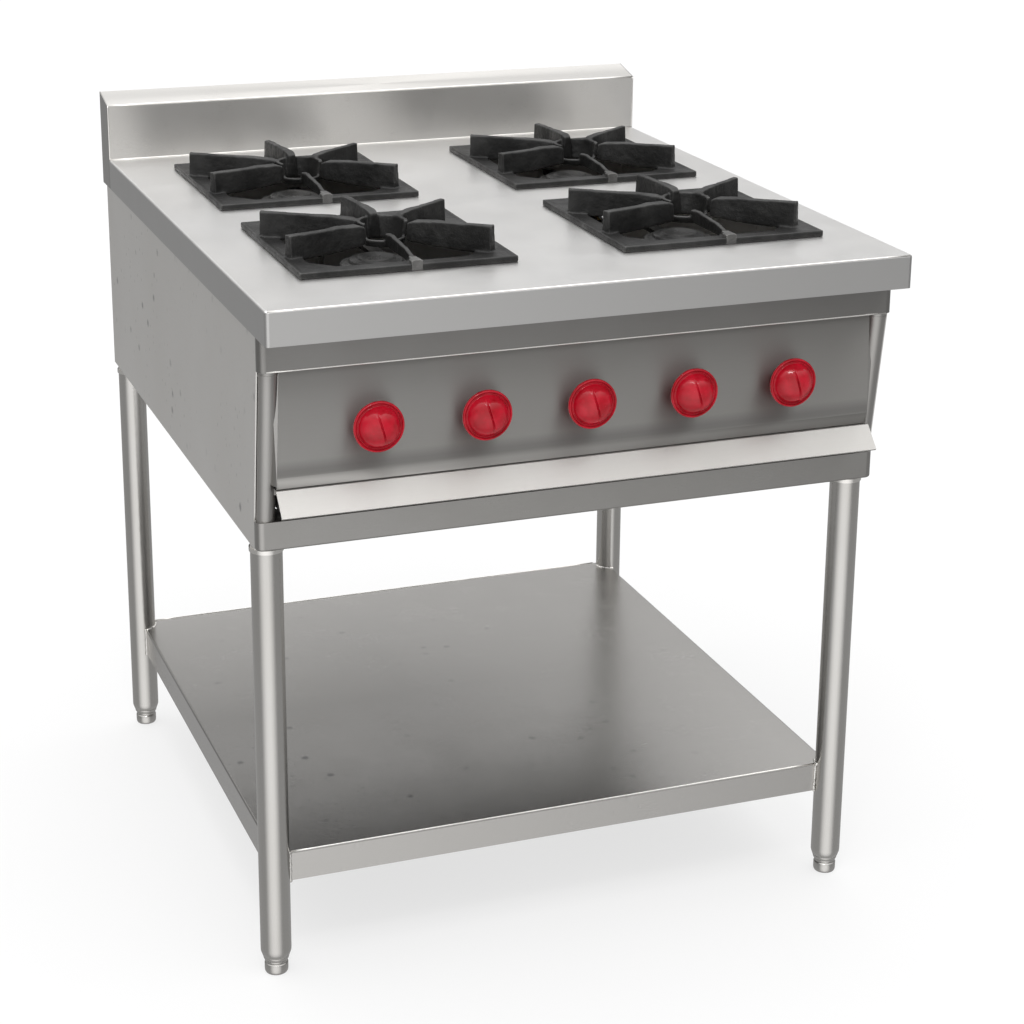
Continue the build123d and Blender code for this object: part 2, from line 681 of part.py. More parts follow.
def stem(x):
    """Makes one valve stem with a flat along its front half."""
    with BuildPart() as shaft:
        with BuildSketch(Plane.XZ.offset(-STEM_REAR)):
            with Locations((x, KNOB_Z)):
                Circle(STEM_RADIUS)
        extrude(amount=STEM_REAR - STEM_FRONT)
        with Locations((x, STEM_FRONT + 10, KNOB_Z + STEM_RADIUS)):
            Box(2 * STEM_RADIUS, 20, 2.4, mode=Mode.SUBTRACT)
    return shaft.part


for number, knob_x in enumerate(KNOB_X, start=1):
    save(knob(knob_x), f"knob_{number}")
    save(stem(knob_x), f"valve_stem_{number}")


# Gas manifold: a pipe along the panel, capped at the left, that turns at the right to the inlet
MANIFOLD_Y = PANEL_Y + 46
MANIFOLD_Z = INLET_Z
PIPE_RADIUS = 10.65
VALVE_FRONT = PANEL_Y + 6
VALVE_REAR = PANEL_Y + 56
with BuildPart() as gas_manifold:
    with BuildSketch(Plane.YZ.offset(-310)):
        with Locations((MANIFOLD_Y, MANIFOLD_Z)):
            Circle(PIPE_RADIUS)
    extrude(amount=310 + INLET_X - 16)
    with BuildSketch(Plane.YZ.offset(-322)):
        with Locations((MANIFOLD_Y, MANIFOLD_Z)):
            RegularPolygon(PIPE_RADIUS + 3, 6)
    extrude(amount=12)
save(gas_manifold.part, "gas_manifold")

# Gas valves: one behind each knob, standing on the manifold
with BuildPart() as gas_valves:
    for knob_x in KNOB_X:
        with BuildSketch(Plane.XZ.offset(-VALVE_REAR)):
            with Locations((knob_x, KNOB_Z)):
                Circle(12)
        extrude(amount=VALVE_REAR - VALVE_FRONT)
        with BuildSketch(Plane.XY.offset(MANIFOLD_Z + PIPE_RADIUS + 0.1)):
            with Locations((knob_x, MANIFOLD_Y)):
                Circle(9)
        extrude(amount=KNOB_Z - MANIFOLD_Z - PIPE_RADIUS - 6)
        with BuildSketch(Plane.XZ.offset(-VALVE_REAR - 8)):
            with Locations((knob_x, KNOB_Z)):
                Circle(6.5)
        extrude(amount=8)
    with BuildSketch(Plane.XZ.offset(-STEM_REAR - 1)):
        with Locations(*[(x, KNOB_Z) for x in KNOB_X]):
            Circle(STEM_RADIUS + 0.06)
    extrude(amount=STEM_REAR + 1 - VALVE_FRONT + 1, mode=Mode.SUBTRACT)
save(gas_valves.part, "gas_valves")

# Gas inlet pipe: an elbow on the manifold's end and a pipe back through the cabinet back
INLET_LENGTH = BACK - MANIFOLD_Y
THREAD_RADIUS = 10.4
with BuildPart() as gas_inlet_pipe:
    with BuildSketch(Plane.XZ.offset(-BACK)):
        with Locations((INLET_X, INLET_Z)):
            Circle(PIPE_RADIUS)
            Circle(PIPE_RADIUS - 2.6, mode=Mode.SUBTRACT)
    extrude(amount=INLET_LENGTH - 16)
    with BuildSketch(Plane.XZ.offset(-BACK)):
        with Locations((INLET_X, INLET_Z)):
            Circle(PIPE_RADIUS)
            Circle(THREAD_RADIUS, mode=Mode.SUBTRACT)
    extrude(amount=BACK_SETBACK, mode=Mode.SUBTRACT)
    with Locations((INLET_X, MANIFOLD_Y, INLET_Z)):
        Box(32, 32, 30)
    fillet(gas_inlet_pipe.edges().filter_by(Axis.Z).group_by(Axis.Y)[0], radius=8)
save(gas_inlet_pipe.part, "gas_inlet_pipe")

# Manifold brackets: two straps from the apron's shelf down to the pipe
with BuildPart() as manifold_brackets:
    strap_back = APRON_Y + 42
    for bracket_x in (-190, 190):
        strap_run = [
            (APRON_Y + 18, APRON_BOTTOM),
            (strap_back, APRON_BOTTOM),
            (strap_back, MANIFOLD_Z + 4),
        ]
        add(folded_sheet(strap_run, bracket_x - 12, bracket_x + 12))
    with BuildSketch(Plane.YZ.offset(-PANEL_SIDE)):
        with Locations((MANIFOLD_Y, MANIFOLD_Z)):
            Circle(PIPE_RADIUS + 0.1)
    extrude(amount=2 * PANEL_SIDE, mode=Mode.SUBTRACT)
save(manifold_brackets.part, "manifold_brackets")


# Feed tubes: from each valve's outlet to the injector at its burner's mixing tube
TUBING_RADIUS = 4
TUBING_BEND = 6
FEED_START = VALVE_REAR + 8
FEED_TURN = FEED_START + 10
INJECTOR_BACK = MIX_REACH + 14
with BuildPart() as feed_tubes:
    for place, (burner_x, burner_y) in BURNERS.items():
        valve_x = VALVE_OF[place] * KNOB_PITCH
        end_y = burner_y - INJECTOR_BACK
        route = [(valve_x, FEED_START, KNOB_Z), (valve_x, FEED_TURN, KNOB_Z)]
        if burner_y == BURNER_REAR_Y:
            rise_y = end_y - 16
            route += [(burner_x, FEED_TURN + 66, KNOB_Z), (burner_x, rise_y, KNOB_Z)]
        else:
            rise_y = FEED_TURN
            route += [(burner_x, rise_y, KNOB_Z + 45)]
        route += [(burner_x, rise_y, MIX_Z), (burner_x, end_y, MIX_Z)]
        with BuildLine() as run:
            FilletPolyline(*route, radius=TUBING_BEND)
        with BuildSketch(Plane(origin=route[0], z_dir=(0, 1, 0))):
            Circle(TUBING_RADIUS)
        sweep(path=run.wires()[0])
save(feed_tubes.part, "feed_tubes")

# Injectors: a hexagon and a nozzle on the end of each feed tube
with BuildPart() as injectors:
    for burner_x, burner_y in BURNERS.values():
        with BuildSketch(Plane.XZ.offset(-(burner_y - INJECTOR_BACK))):
            with Locations((burner_x, MIX_Z)):
                RegularPolygon(7, 6)
        extrude(amount=-8)
        with BuildSketch(Plane.XZ.offset(-(burner_y - INJECTOR_BACK + 8))):
            with Locations((burner_x, MIX_Z)):
                Circle(3.5)
        extrude(amount=-12)
save(injectors.part, "injectors")

# Pilot tube: a thin tube from the middle valve that branches to a tip beside each burner
PILOT_RADIUS = 3
PILOT_Z = BURNER_BED + 26
TIP_GAP = 12
with BuildPart() as pilot_tube:
    with BuildLine() as pilot_run:
        FilletPolyline(
            (0, FEED_START, KNOB_Z),
            (0, FEED_START + 30, KNOB_Z),
            (0, FEED_START + 30, PILOT_Z),
            (0, BURNER_REAR_Y, PILOT_Z),
            radius=12,
        )
    with BuildSketch(Plane(origin=(0, FEED_START, KNOB_Z), z_dir=(0, 1, 0))):
        Circle(PILOT_RADIUS)
    sweep(path=pilot_run.wires()[0])
    left_tip = BURNER_LEFT_X + BOWL_RADIUS + TIP_GAP
    right_tip = BURNER_RIGHT_X - BOWL_RADIUS - TIP_GAP
    for branch_y in (BURNER_FRONT_Y, BURNER_REAR_Y):
        with BuildSketch(Plane.YZ.offset(left_tip)):
            with Locations((branch_y, PILOT_Z)):
                Circle(PILOT_RADIUS)
        extrude(amount=right_tip - left_tip)
        with BuildSketch(Plane.XY.offset(PILOT_Z - PILOT_RADIUS)):
            with Locations((left_tip, branch_y), (right_tip, branch_y)):
                Circle(PILOT_RADIUS + 2)
        extrude(amount=14)
save(pilot_tube.part, "pilot_tube")


# Fasteners: hexagon bolts through the leg sockets' plates and screws in the burner lugs
with BuildPart() as fasteners:
    for leg_x, leg_y in CORNERS.values():
        inward = -1 if leg_x > 0 else 1
        with BuildSketch(Plane.XY.offset(RAIL_BOTTOM + SOCKET_PLATE)):
            with Locations((leg_x + inward * 26, leg_y - 8)):
                RegularPolygon(5, 6)
        extrude(amount=5)
    with BuildSketch(Plane.XY.offset(BURNER_BED + 6)):
        for burner_x, burner_y in BURNERS.values():
            with Locations((burner_x - BAR_SPREAD, burner_y), (burner_x + BAR_SPREAD, burner_y)):
                RegularPolygon(5, 6)
    extrude(amount=4)
save(fasteners.part, "fasteners")
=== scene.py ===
import json
import math
import random

import bmesh
import bpy
from mathutils import Matrix, Vector

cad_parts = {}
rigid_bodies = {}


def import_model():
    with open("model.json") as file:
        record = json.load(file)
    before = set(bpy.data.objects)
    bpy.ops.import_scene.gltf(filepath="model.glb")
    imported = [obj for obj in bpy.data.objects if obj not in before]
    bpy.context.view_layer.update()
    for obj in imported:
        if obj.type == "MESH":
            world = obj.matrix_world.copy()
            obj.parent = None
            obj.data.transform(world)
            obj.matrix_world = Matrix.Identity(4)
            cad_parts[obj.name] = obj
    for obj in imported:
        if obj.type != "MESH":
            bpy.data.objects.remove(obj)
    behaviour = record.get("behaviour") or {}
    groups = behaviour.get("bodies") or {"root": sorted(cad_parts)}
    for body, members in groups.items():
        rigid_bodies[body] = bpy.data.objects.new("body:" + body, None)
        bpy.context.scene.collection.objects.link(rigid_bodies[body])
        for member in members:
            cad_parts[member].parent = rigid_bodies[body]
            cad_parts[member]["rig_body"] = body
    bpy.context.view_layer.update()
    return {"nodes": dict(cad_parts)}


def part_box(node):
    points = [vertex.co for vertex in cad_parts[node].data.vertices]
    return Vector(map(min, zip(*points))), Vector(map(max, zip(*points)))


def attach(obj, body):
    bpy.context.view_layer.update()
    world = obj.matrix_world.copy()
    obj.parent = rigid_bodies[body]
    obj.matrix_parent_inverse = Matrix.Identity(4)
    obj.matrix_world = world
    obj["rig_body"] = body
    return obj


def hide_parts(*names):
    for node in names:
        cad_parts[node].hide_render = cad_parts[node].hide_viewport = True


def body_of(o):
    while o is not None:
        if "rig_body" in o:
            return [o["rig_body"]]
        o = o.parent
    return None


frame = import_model()

PLACES = ("front_left", "front_right", "rear_left", "rear_right")
KNOB_NUMBERS = range(1, 6)
MM = 0.001


# ---------------------------------------------------------------- measures from the frame
WORKTOP_LOW, WORKTOP_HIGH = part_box("worktop")
TOP_Z = WORKTOP_HIGH.z
SPLASH_LOW, SPLASH_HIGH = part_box("backsplash")
SHELF_LOW, SHELF_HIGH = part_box("undershelf")
PANEL_LOW, PANEL_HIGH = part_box("control_panel")
PANEL_FRONT = PANEL_LOW.y


# ---------------------------------------------------------------- material helpers
def new_material(name):
    """A material with an empty Principled shader, and short names for its tree and shader."""
    material = bpy.data.materials.new(name)
    material.use_nodes = True
    tree = material.node_tree
    return material, tree, tree.nodes["Principled BSDF"]


def object_coords(tree, scale=(1, 1, 1)):
    """Object coordinates in metres, stretched by scale."""
    coords = tree.nodes.new("ShaderNodeTexCoord")
    mapping = tree.nodes.new("ShaderNodeMapping")
    mapping.inputs["Scale"].default_value = scale
    tree.links.new(coords.outputs["Object"], mapping.inputs["Vector"])
    return mapping.outputs["Vector"]


def noise(tree, scale, detail=3, roughness=0.55, stretch=(1, 1, 1)):
    """A noise value at a scale in cells per metre."""
    node = tree.nodes.new("ShaderNodeTexNoise")
    node.inputs["Scale"].default_value = scale
    node.inputs["Detail"].default_value = detail
    node.inputs["Roughness"].default_value = roughness
    tree.links.new(object_coords(tree, stretch), node.inputs["Vector"])
    return node.outputs["Fac"]


def spots(tree, scale, radius, stretch=(1, 1, 1)):
    """Sparse round spots: 1 inside a spot, 0 outside."""
    node = tree.nodes.new("ShaderNodeTexVoronoi")
    node.inputs["Scale"].default_value = scale
    tree.links.new(object_coords(tree, stretch), node.inputs["Vector"])
    return remap(tree, node.outputs["Distance"], radius * 0.4, radius, 1, 0)


def remap(tree, value, low, high, to_low, to_high):
    """Maps a value's range onto another, clamped."""
    node = tree.nodes.new("ShaderNodeMapRange")
    node.inputs["From Min"].default_value = low
    node.inputs["From Max"].default_value = high
    node.inputs["To Min"].default_value = to_low
    node.inputs["To Max"].default_value = to_high
    tree.links.new(value, node.inputs["Value"])
    return node.outputs["Result"]


def arithmetic(tree, operation, first, second):
    """A maths node on two values, each a socket or a number."""
    node = tree.nodes.new("ShaderNodeMath")
    node.operation = operation
    for socket, value in zip(node.inputs, (first, second)):
        if isinstance(value, (int, float)):
            socket.default_value = value
        else:
            tree.links.new(value, socket)
    return node.outputs["Value"]


def weighted(tree, first, first_share, second, second_share):
    """Two values added together in given shares."""
    return arithmetic(
        tree,
        "ADD",
        arithmetic(tree, "MULTIPLY", first, first_share),
        arithmetic(tree, "MULTIPLY", second, second_share),
    )


def along(tree, axis, start, end):
    """A ramp from 0 at start to 1 at end along an axis, in metres."""
    split = tree.nodes.new("ShaderNodeSeparateXYZ")
    tree.links.new(object_coords(tree), split.inputs["Vector"])
    return remap(tree, split.outputs[axis], start, end, 0, 1)


def blend(tree, factor, first, second):
    """A colour between two colours, each a socket or an RGB triple."""
    node = tree.nodes.new("ShaderNodeMix")
    node.data_type = "RGBA"
    sockets = [s for s in node.inputs if s.type == "RGBA"]
    for socket, value in zip(sockets, (first, second)):
        if isinstance(value, tuple):
            socket.default_value = (*value, 1)
        else:
            tree.links.new(value, socket)
    factor_socket = next(s for s in node.inputs if s.type == "VALUE")
    tree.links.new(factor, factor_socket)
    return next(s for s in node.outputs if s.type == "RGBA")


def bump(tree, height, depth, below=None):
    """A bump of a depth in metres, on top of another bump if one is given."""
    node = tree.nodes.new("ShaderNodeBump")
    node.inputs["Strength"].default_value = 1.0
    node.inputs["Distance"].default_value = depth
    tree.links.new(height, node.inputs["Height"])
    if below is not None:
        tree.links.new(below, node.inputs["Normal"])
    return node.outputs["Normal"]


def grey(level, warmth=0.0):
    """A grey, a little warmer or cooler."""
    return (level * (1 + warmth), level, level * (1 - warmth * 1.6))


# ---------------------------------------------------------------- materials
# How noise is stretched into grain along an axis: one cell long, and sixty to the same length across.
ALONG_X = (1, 60, 60)
ALONG_Y = (60, 1, 60)
ALONG_Z = (60, 60, 1)


STREAK_DEPTH = 0.00005
FINE_DEPTH = 0.00003
# Turns the smear of reflections upright on upright sheets.
SMEAR_TURN = 0.25


def brushed_steel(
    name, level, grain, rough=0.3, dents=0.0, cloud=0.06, smear=0.0, wave=0.0004, shade=(), warmth=0.024
):
    """Satin stainless steel: fine grain one way, soft clouding, faint smudges and optional dents with painted
    shade in them.

    shade holds runs of painted light and shade as (axis, start, end, level), each of which takes the steel to
    another level along an axis."""
    material, tree, shader = new_material(name)
    clouds = noise(tree, 5, detail=2)
    streaks = noise(tree, 26, detail=4, roughness=0.7, stretch=grain)
    fine = noise(tree, 90, detail=2, roughness=0.8, stretch=grain)
    mix = remap(tree, weighted(tree, clouds, 0.6, streaks, 0.4), 0.36, 0.64, 0, 1)
    darker = grey(level * (1 - cloud), warmth + 0.003)
    paler = grey(level * (1 + cloud), warmth - 0.003)
    colour = blend(tree, mix, darker, paler)
    smudge = noise(tree, 14, detail=3, roughness=0.6)
    sheen = arithmetic(
        tree,
        "ADD",
        remap(tree, smudge, 0.35, 0.7, rough - 0.012, rough + 0.018),
        remap(tree, fine, 0.3, 0.7, -0.03, 0.03),
    )
    normal = bump(tree, streaks, STREAK_DEPTH)
    normal = bump(tree, fine, FINE_DEPTH, normal)
    normal = bump(tree, noise(tree, 2.4, detail=1), wave, normal)
    if dents:
        small = arithmetic(tree, "MULTIPLY", spots(tree, 61, 0.15, (1, 1.3, 0.8)), 0.6)
        pits = arithmetic(tree, "ADD", spots(tree, 24, 0.15), small)
        where = remap(tree, noise(tree, 6, detail=1), 0.42, 0.6, 0.15, 1)
        pits = arithmetic(tree, "MULTIPLY", pits, where)
        normal = bump(tree, arithmetic(tree, "MULTIPLY", pits, -1), dents, normal)
        # Painted shade: the steel is painted darker inside the dents.
        colour = blend(tree, arithmetic(tree, "MULTIPLY", pits, 0.8), colour, grey(level * 0.4))
    # Painted light and shade: each run paints the steel lighter or darker along an axis.
    for axis, start, end, reached in shade:
        colour = blend(tree, along(tree, axis, start, end), colour, grey(reached, warmth))
    tree.links.new(colour, shader.inputs["Base Color"])
    tree.links.new(sheen, shader.inputs["Roughness"])
    tree.links.new(normal, shader.inputs["Normal"])
    shader.inputs["Metallic"].default_value = 1.0
    shader.inputs["Anisotropic"].default_value = smear
    shader.inputs["Anisotropic Rotation"].default_value = SMEAR_TURN
    return material


GRAIN_DEPTH = 0.0003
HOLLOW_DEPTH = 0.0011


def cast_iron(name, level, grain=700, wear_and_highlight=0.10, rough=0.5):
    """Sand-cast black iron: fine grains, shallow hollows, paler patches, and paler edges that are partly wear
    and partly painted highlight.
    """
    material, tree, shader = new_material(name)
    grains = noise(tree, grain, detail=4, roughness=0.65)
    hollows = noise(tree, 120, detail=3)
    patches = noise(tree, 26, detail=3, roughness=0.6)
    mix = remap(tree, weighted(tree, patches, 0.7, grains, 0.3), 0.4, 0.68, 0, 1)
    colour = blend(tree, mix, grey(level * 0.7, 0.02), grey(level + wear_and_highlight * 0.25, 0.015))
    # Paler edges: partly wear, and partly painted highlight along the castings' edges and tops.
    geometry = tree.nodes.new("ShaderNodeNewGeometry")
    edges = remap(tree, geometry.outputs["Pointiness"], 0.515, 0.58, 0, 1)
    edges = arithmetic(tree, "MULTIPLY", edges, remap(tree, patches, 0.35, 0.6, 0.35, 1))
    colour = blend(tree, edges, colour, grey(level + wear_and_highlight * 0.8, 0.015))
    tree.links.new(colour, shader.inputs["Base Color"])
    tree.links.new(remap(tree, patches, 0.35, 0.7, rough + 0.08, rough - 0.1), shader.inputs["Roughness"])
    normal = bump(tree, grains, GRAIN_DEPTH)
    normal = bump(tree, hollows, HOLLOW_DEPTH, normal)
    tree.links.new(normal, shader.inputs["Normal"])
    shader.inputs["Metallic"].default_value = 0.0
    shader.inputs["Specular IOR Level"].default_value = 0.3
    return material


def glossy_plastic(name, dark, light):
    """Deep glossy moulded plastic with faint depth in its colour and small scuffs."""
    material, tree, shader = new_material(name)
    depth = noise(tree, 60, detail=2)
    colour = blend(tree, remap(tree, depth, 0.35, 0.65, 0, 1), dark, light)
    tree.links.new(colour, shader.inputs["Base Color"])
    scuffs = noise(tree, 300, detail=3)
    tree.links.new(remap(tree, scuffs, 0.45, 0.75, 0.16, 0.3), shader.inputs["Roughness"])
    tree.links.new(bump(tree, noise(tree, 140, detail=2), 0.00015), shader.inputs["Normal"])
    shader.inputs["Specular IOR Level"].default_value = 0.2
    shader.inputs["Coat Weight"].default_value = 0.35
    shader.inputs["Coat Roughness"].default_value = 0.05
    return material


def turned_metal(name, first, second, rough, grain=(1, 1, 1), metallic=1.0):
    """Small metal parts inside: turned brass, drawn tubing, zinc-coated steel or black pipe."""
    material, tree, shader = new_material(name)
    tarnish = noise(tree, 45, detail=4, roughness=0.65)
    lines = noise(tree, 160, detail=2, stretch=grain)
    colour = blend(tree, remap(tree, tarnish, 0.38, 0.66, 0, 1), first, second)
    tree.links.new(colour, shader.inputs["Base Color"])
    tree.links.new(remap(tree, tarnish, 0.3, 0.7, rough + 0.12, rough - 0.06), shader.inputs["Roughness"])
    tree.links.new(bump(tree, lines, 0.0001), shader.inputs["Normal"])
    shader.inputs["Metallic"].default_value = metallic
    return material


# Painted shade: the worktop's front and side drops are painted darker than its top.
TOP_SHADE = (("Z", TOP_Z - 1 * MM, TOP_Z - 3 * MM, 0.48),)
# Painted light: the worktop's steel is set brighter than the other sheets.
STEEL_TOP = brushed_steel(
    "steel_worktop", 0.79, ALONG_X, rough=0.36, cloud=0.02, wave=0.0001, warmth=0.01, shade=TOP_SHADE
)
# Painted shade: the backsplash's two end faces are painted darker than its front.
SPLASH_SHADE = (
    ("X", SPLASH_LOW.x + 2 * MM, SPLASH_LOW.x + 0.5 * MM, 0.3),
    ("X", SPLASH_HIGH.x - 2 * MM, SPLASH_HIGH.x - 0.5 * MM, 0.3),
)
STEEL_SPLASH = brushed_steel(
    "steel_backsplash", 0.58, ALONG_X, rough=0.3, smear=0.8, cloud=0.02, wave=0.0002, shade=SPLASH_SHADE
)
# Painted shade: the apron's steel is set darker, as shade under the worktop's overhang.
STEEL_APRON = brushed_steel("steel_apron", 0.24, ALONG_X, rough=0.32, smear=0.9, cloud=0.03)
# Painted reflection: a dark band is painted across the panel near its foot, with a lighter strip below it.
PANEL_SHADE = (
    ("Z", PANEL_LOW.z + 34 * MM, PANEL_LOW.z + 22 * MM, 0.32),
    ("Z", PANEL_LOW.z + 17 * MM, PANEL_LOW.z + 9 * MM, 0.46),
)
STEEL_PANEL = brushed_steel(
    "steel_panel", 0.43, ALONG_X, rough=0.6, smear=1.0, cloud=0.03, wave=0.0001, shade=PANEL_SHADE
)
# Painted shade: the lower rail's steel is set darker than the worktop's and the sides'.
STEEL_RAIL = brushed_steel("steel_rail", 0.34, ALONG_X, rough=0.3, smear=0.8, cloud=0.03)
# Painted light: the sides' steel is set brighter than the front sheets'.
STEEL_SIDE = brushed_steel(
    "steel_side", 0.74, ALONG_Y, rough=0.34, dents=0.002, smear=0.5, cloud=0.03, wave=0.0001
)
# Painted light and shade: the shelf is darkest at its front left and is painted lighter towards the right,
# towards the back and on its turned-down edges.
SHELF_SHADE = (
    ("X", SHELF_LOW.x * 0.2, SHELF_HIGH.x * 0.9, 0.46),
    ("Y", SHELF_HIGH.y * 0.1, SHELF_HIGH.y, 0.47),
    ("Z", SHELF_HIGH.z - 1 * MM, SHELF_HIGH.z - 3 * MM, 0.5),
)
# Painted shade: the shelf's steel is set dark, as shade under the cabinet.
STEEL_SHELF = brushed_steel(
    "steel_shelf", 0.28, ALONG_X, rough=0.24, dents=0.0001, cloud=0.04, wave=0.0001, shade=SHELF_SHADE
)
# Painted shade: the tray is painted near black from 30 to 60 mm behind the panel's front, inside the cabinet.
TRAY_SHADE = (("Y", PANEL_FRONT + 30 * MM, PANEL_FRONT + 60 * MM, 0.03),)
STEEL_TRAY = brushed_steel("steel_tray", 0.46, ALONG_X, rough=0.52, cloud=0.03, shade=TRAY_SHADE)
STEEL_TUBE = brushed_steel("steel_tube", 0.5, ALONG_Z, rough=0.22, smear=0.7, cloud=0.03, wave=0.0001)
# Painted shade: the corner tubes are a darker copy of the legs' steel.
STEEL_POST = brushed_steel("steel_post", 0.38, ALONG_Z, rough=0.45, smear=0.7, cloud=0.03, wave=0.0001)
STEEL_RING = brushed_steel("steel_ring", 0.7, ALONG_X, rough=0.2)
# Painted highlight: bright steel for the rim strips, brighter than the sheets they run along.
STEEL_RIM_HIGHLIGHT = brushed_steel("steel_rim_highlight", 0.85, ALONG_X, rough=0.3)
# Near-black steel for the tray runners and the burner support rails.
STEEL_NEAR_BLACK = brushed_steel("steel_near_black", 0.07, ALONG_Y, rough=0.5)
IRON_GRATE = cast_iron("iron_grate", 0.007, wear_and_highlight=0.08, rough=0.42)
IRON_BURNER = cast_iron("iron_burner", 0.02, grain=1100, wear_and_highlight=0.08, rough=0.3)
IRON_WORN = cast_iron("iron_worn", 0.07, wear_and_highlight=0.2, rough=0.42)
RED = glossy_plastic("red_plastic", (0.32, 0.002, 0.009), (0.45, 0.006, 0.02))
BRASS = turned_metal("turned_brass", (0.5, 0.33, 0.12), (0.66, 0.48, 0.2), 0.3)
ZINC = turned_metal("zinc_steel", (0.3, 0.3, 0.29), (0.42, 0.42, 0.41), 0.42)
PIPE = turned_metal("black_pipe", (0.03, 0.03, 0.03), (0.07, 0.065, 0.06), 0.5, metallic=0.3)
TUBING = turned_metal("drawn_tubing", (0.45, 0.45, 0.45), (0.58, 0.58, 0.58), 0.32)

FINISHES = {
    "worktop": STEEL_TOP,
    "backsplash": STEEL_SPLASH,
    "cabinet_side_left": STEEL_SIDE,
    "cabinet_side_right": STEEL_SIDE,
    "cabinet_back": STEEL_SIDE,
    "upper_front_rail": STEEL_APRON,
    "lower_front_rail": STEEL_RAIL,
    "control_panel": STEEL_PANEL,
    "drip_tray": STEEL_TRAY,
    "undershelf": STEEL_SHELF,
    "undershelf_stiffener": STEEL_SHELF,
    "corner_tubes": STEEL_POST,
    "leg_collars": STEEL_RING,
    "leg_end_plugs": STEEL_TUBE,
    "lower_rear_rail": ZINC,
    "leg_sockets": ZINC,
    "tray_runners": STEEL_NEAR_BLACK,
    "burner_support_rails": STEEL_NEAR_BLACK,
    "manifold_brackets": ZINC,
    "fasteners": ZINC,
    "gas_manifold": PIPE,
    "gas_inlet_pipe": PIPE,
    "gas_valves": BRASS,
    "injectors": BRASS,
    "feed_tubes": TUBING,
    "pilot_tube": TUBING,
}
for place in PLACES:
    FINISHES[f"leg_{place}"] = STEEL_TUBE
    FINISHES[f"foot_{place}"] = STEEL_TUBE
    FINISHES[f"burner_body_{place}"] = IRON_BURNER
    FINISHES[f"air_shutter_{place}"] = ZINC
for number in KNOB_NUMBERS:
    FINISHES[f"valve_stem_{number}"] = BRASS

for node, finish in FINISHES.items():
    for slot in frame["nodes"][node].material_slots:
        slot.material = finish


# ---------------------------------------------------------------- mesh helpers
def new_piece(name, mesh, material, body, stands_for=None, smooth=True):
    """Puts a mesh in the scene as a piece that rides on a body."""
    piece = bpy.data.objects.new(name, mesh)
    bpy.context.scene.collection.objects.link(piece)
    mesh.materials.clear()
    mesh.materials.append(material)
    if smooth:
        mesh.shade_smooth()
    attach(piece, body)
    if stands_for:
        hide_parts(stands_for)
    return piece


def join_rings(work, rings):
    """Joins rings of equal size with faces; the first and the last ring may each be one point."""
    for lower, upper in zip(rings, rings[1:]):
        steps = max(len(lower), len(upper))
        for step in range(steps):
            following = (step + 1) % steps
            if len(lower) == 1:
                work.faces.new((lower[0], upper[following], upper[step]))
            elif len(upper) == 1:
                work.faces.new((lower[step], lower[following], upper[0]))
            else:
                work.faces.new((lower[step], lower[following], upper[following], upper[step]))
    bmesh.ops.recalc_face_normals(work, faces=work.faces)


def finished_mesh(work, name):
    """Turns a bmesh into a mesh and frees it."""
    mesh = bpy.data.meshes.new(name)
    work.to_mesh(mesh)
    work.free()
    return mesh


def lathe(profile, centre, steps=96, ripple=None, ring=False):
    """A closed mesh turned from (radius, height) points.

    They start and end on the axis, or go round a ring's wall. ripple adds to the radius of a point."""
    work = bmesh.new()
    rings = []
    for radius, height in profile:
        if radius == 0:
            rings.append([work.verts.new((0, 0, height))])
            continue
        loop = []
        for step in range(steps):
            angle = 2 * math.pi * step / steps
            reach = radius + (ripple(radius, step) if ripple else 0)
            spot = (reach * math.cos(angle), reach * math.sin(angle), height)
            loop.append(work.verts.new(spot))
        rings.append(loop)
    join_rings(work, rings + rings[:1] if ring else rings)
    bmesh.ops.transform(work, matrix=Matrix.Translation(centre), verts=work.verts)
    return finished_mesh(work, "turned")


def smoothstep(low, high, value):
    """0 below low, 1 above high, and a smooth rise between."""
    t = max(0.0, min(1.0, (value - low) / (high - low)))
    return t * t * (3 - 2 * t)


# ---------------------------------------------------------------- knobs
KNOB_LOW, KNOB_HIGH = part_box("knob_1")
KNOB_RADIUS = (KNOB_HIGH.z - KNOB_LOW.z) / 2
KNOB_REACH = KNOB_HIGH.y - KNOB_LOW.y
DISH_HEIGHT = 16 * MM
BEAD_RADIUS = KNOB_RADIUS - 1.5 * MM
BEAD_HALF = 1.6 * MM
BEAD_HEIGHT = 3.2 * MM
SHOULDER_HEIGHT = 1.7 * MM
SHOULDER_HALF = 1.1 * MM
SHOULDER_RADIUS = KNOB_RADIUS - 4.6 * MM
DOME_RADIUS = KNOB_RADIUS - 5.8 * MM
DOME_HEIGHT = 15.5 * MM
CREASE_DEPTH = 3.2 * MM
CREASE_HALF = 0.85 * MM
CREASE_LEAN = 0.17
CREASE_BEND = 1.4 * MM
LOBE_SWELL = 3.4 * MM
LOBE_SPREAD = 5 * MM
STEP_HEIGHT = 1.8 * MM
STEP_HALF = 1.2 * MM
KNOB_STEPS, KNOB_RINGS = 160, 64
# The knob's back as (change in radius, height) in millimetres, from the rim to the shaft.
KNOB_BACK = ((0, 15.5), (-1, 14), (-8, 8), (-10, 5), (-10, 0))


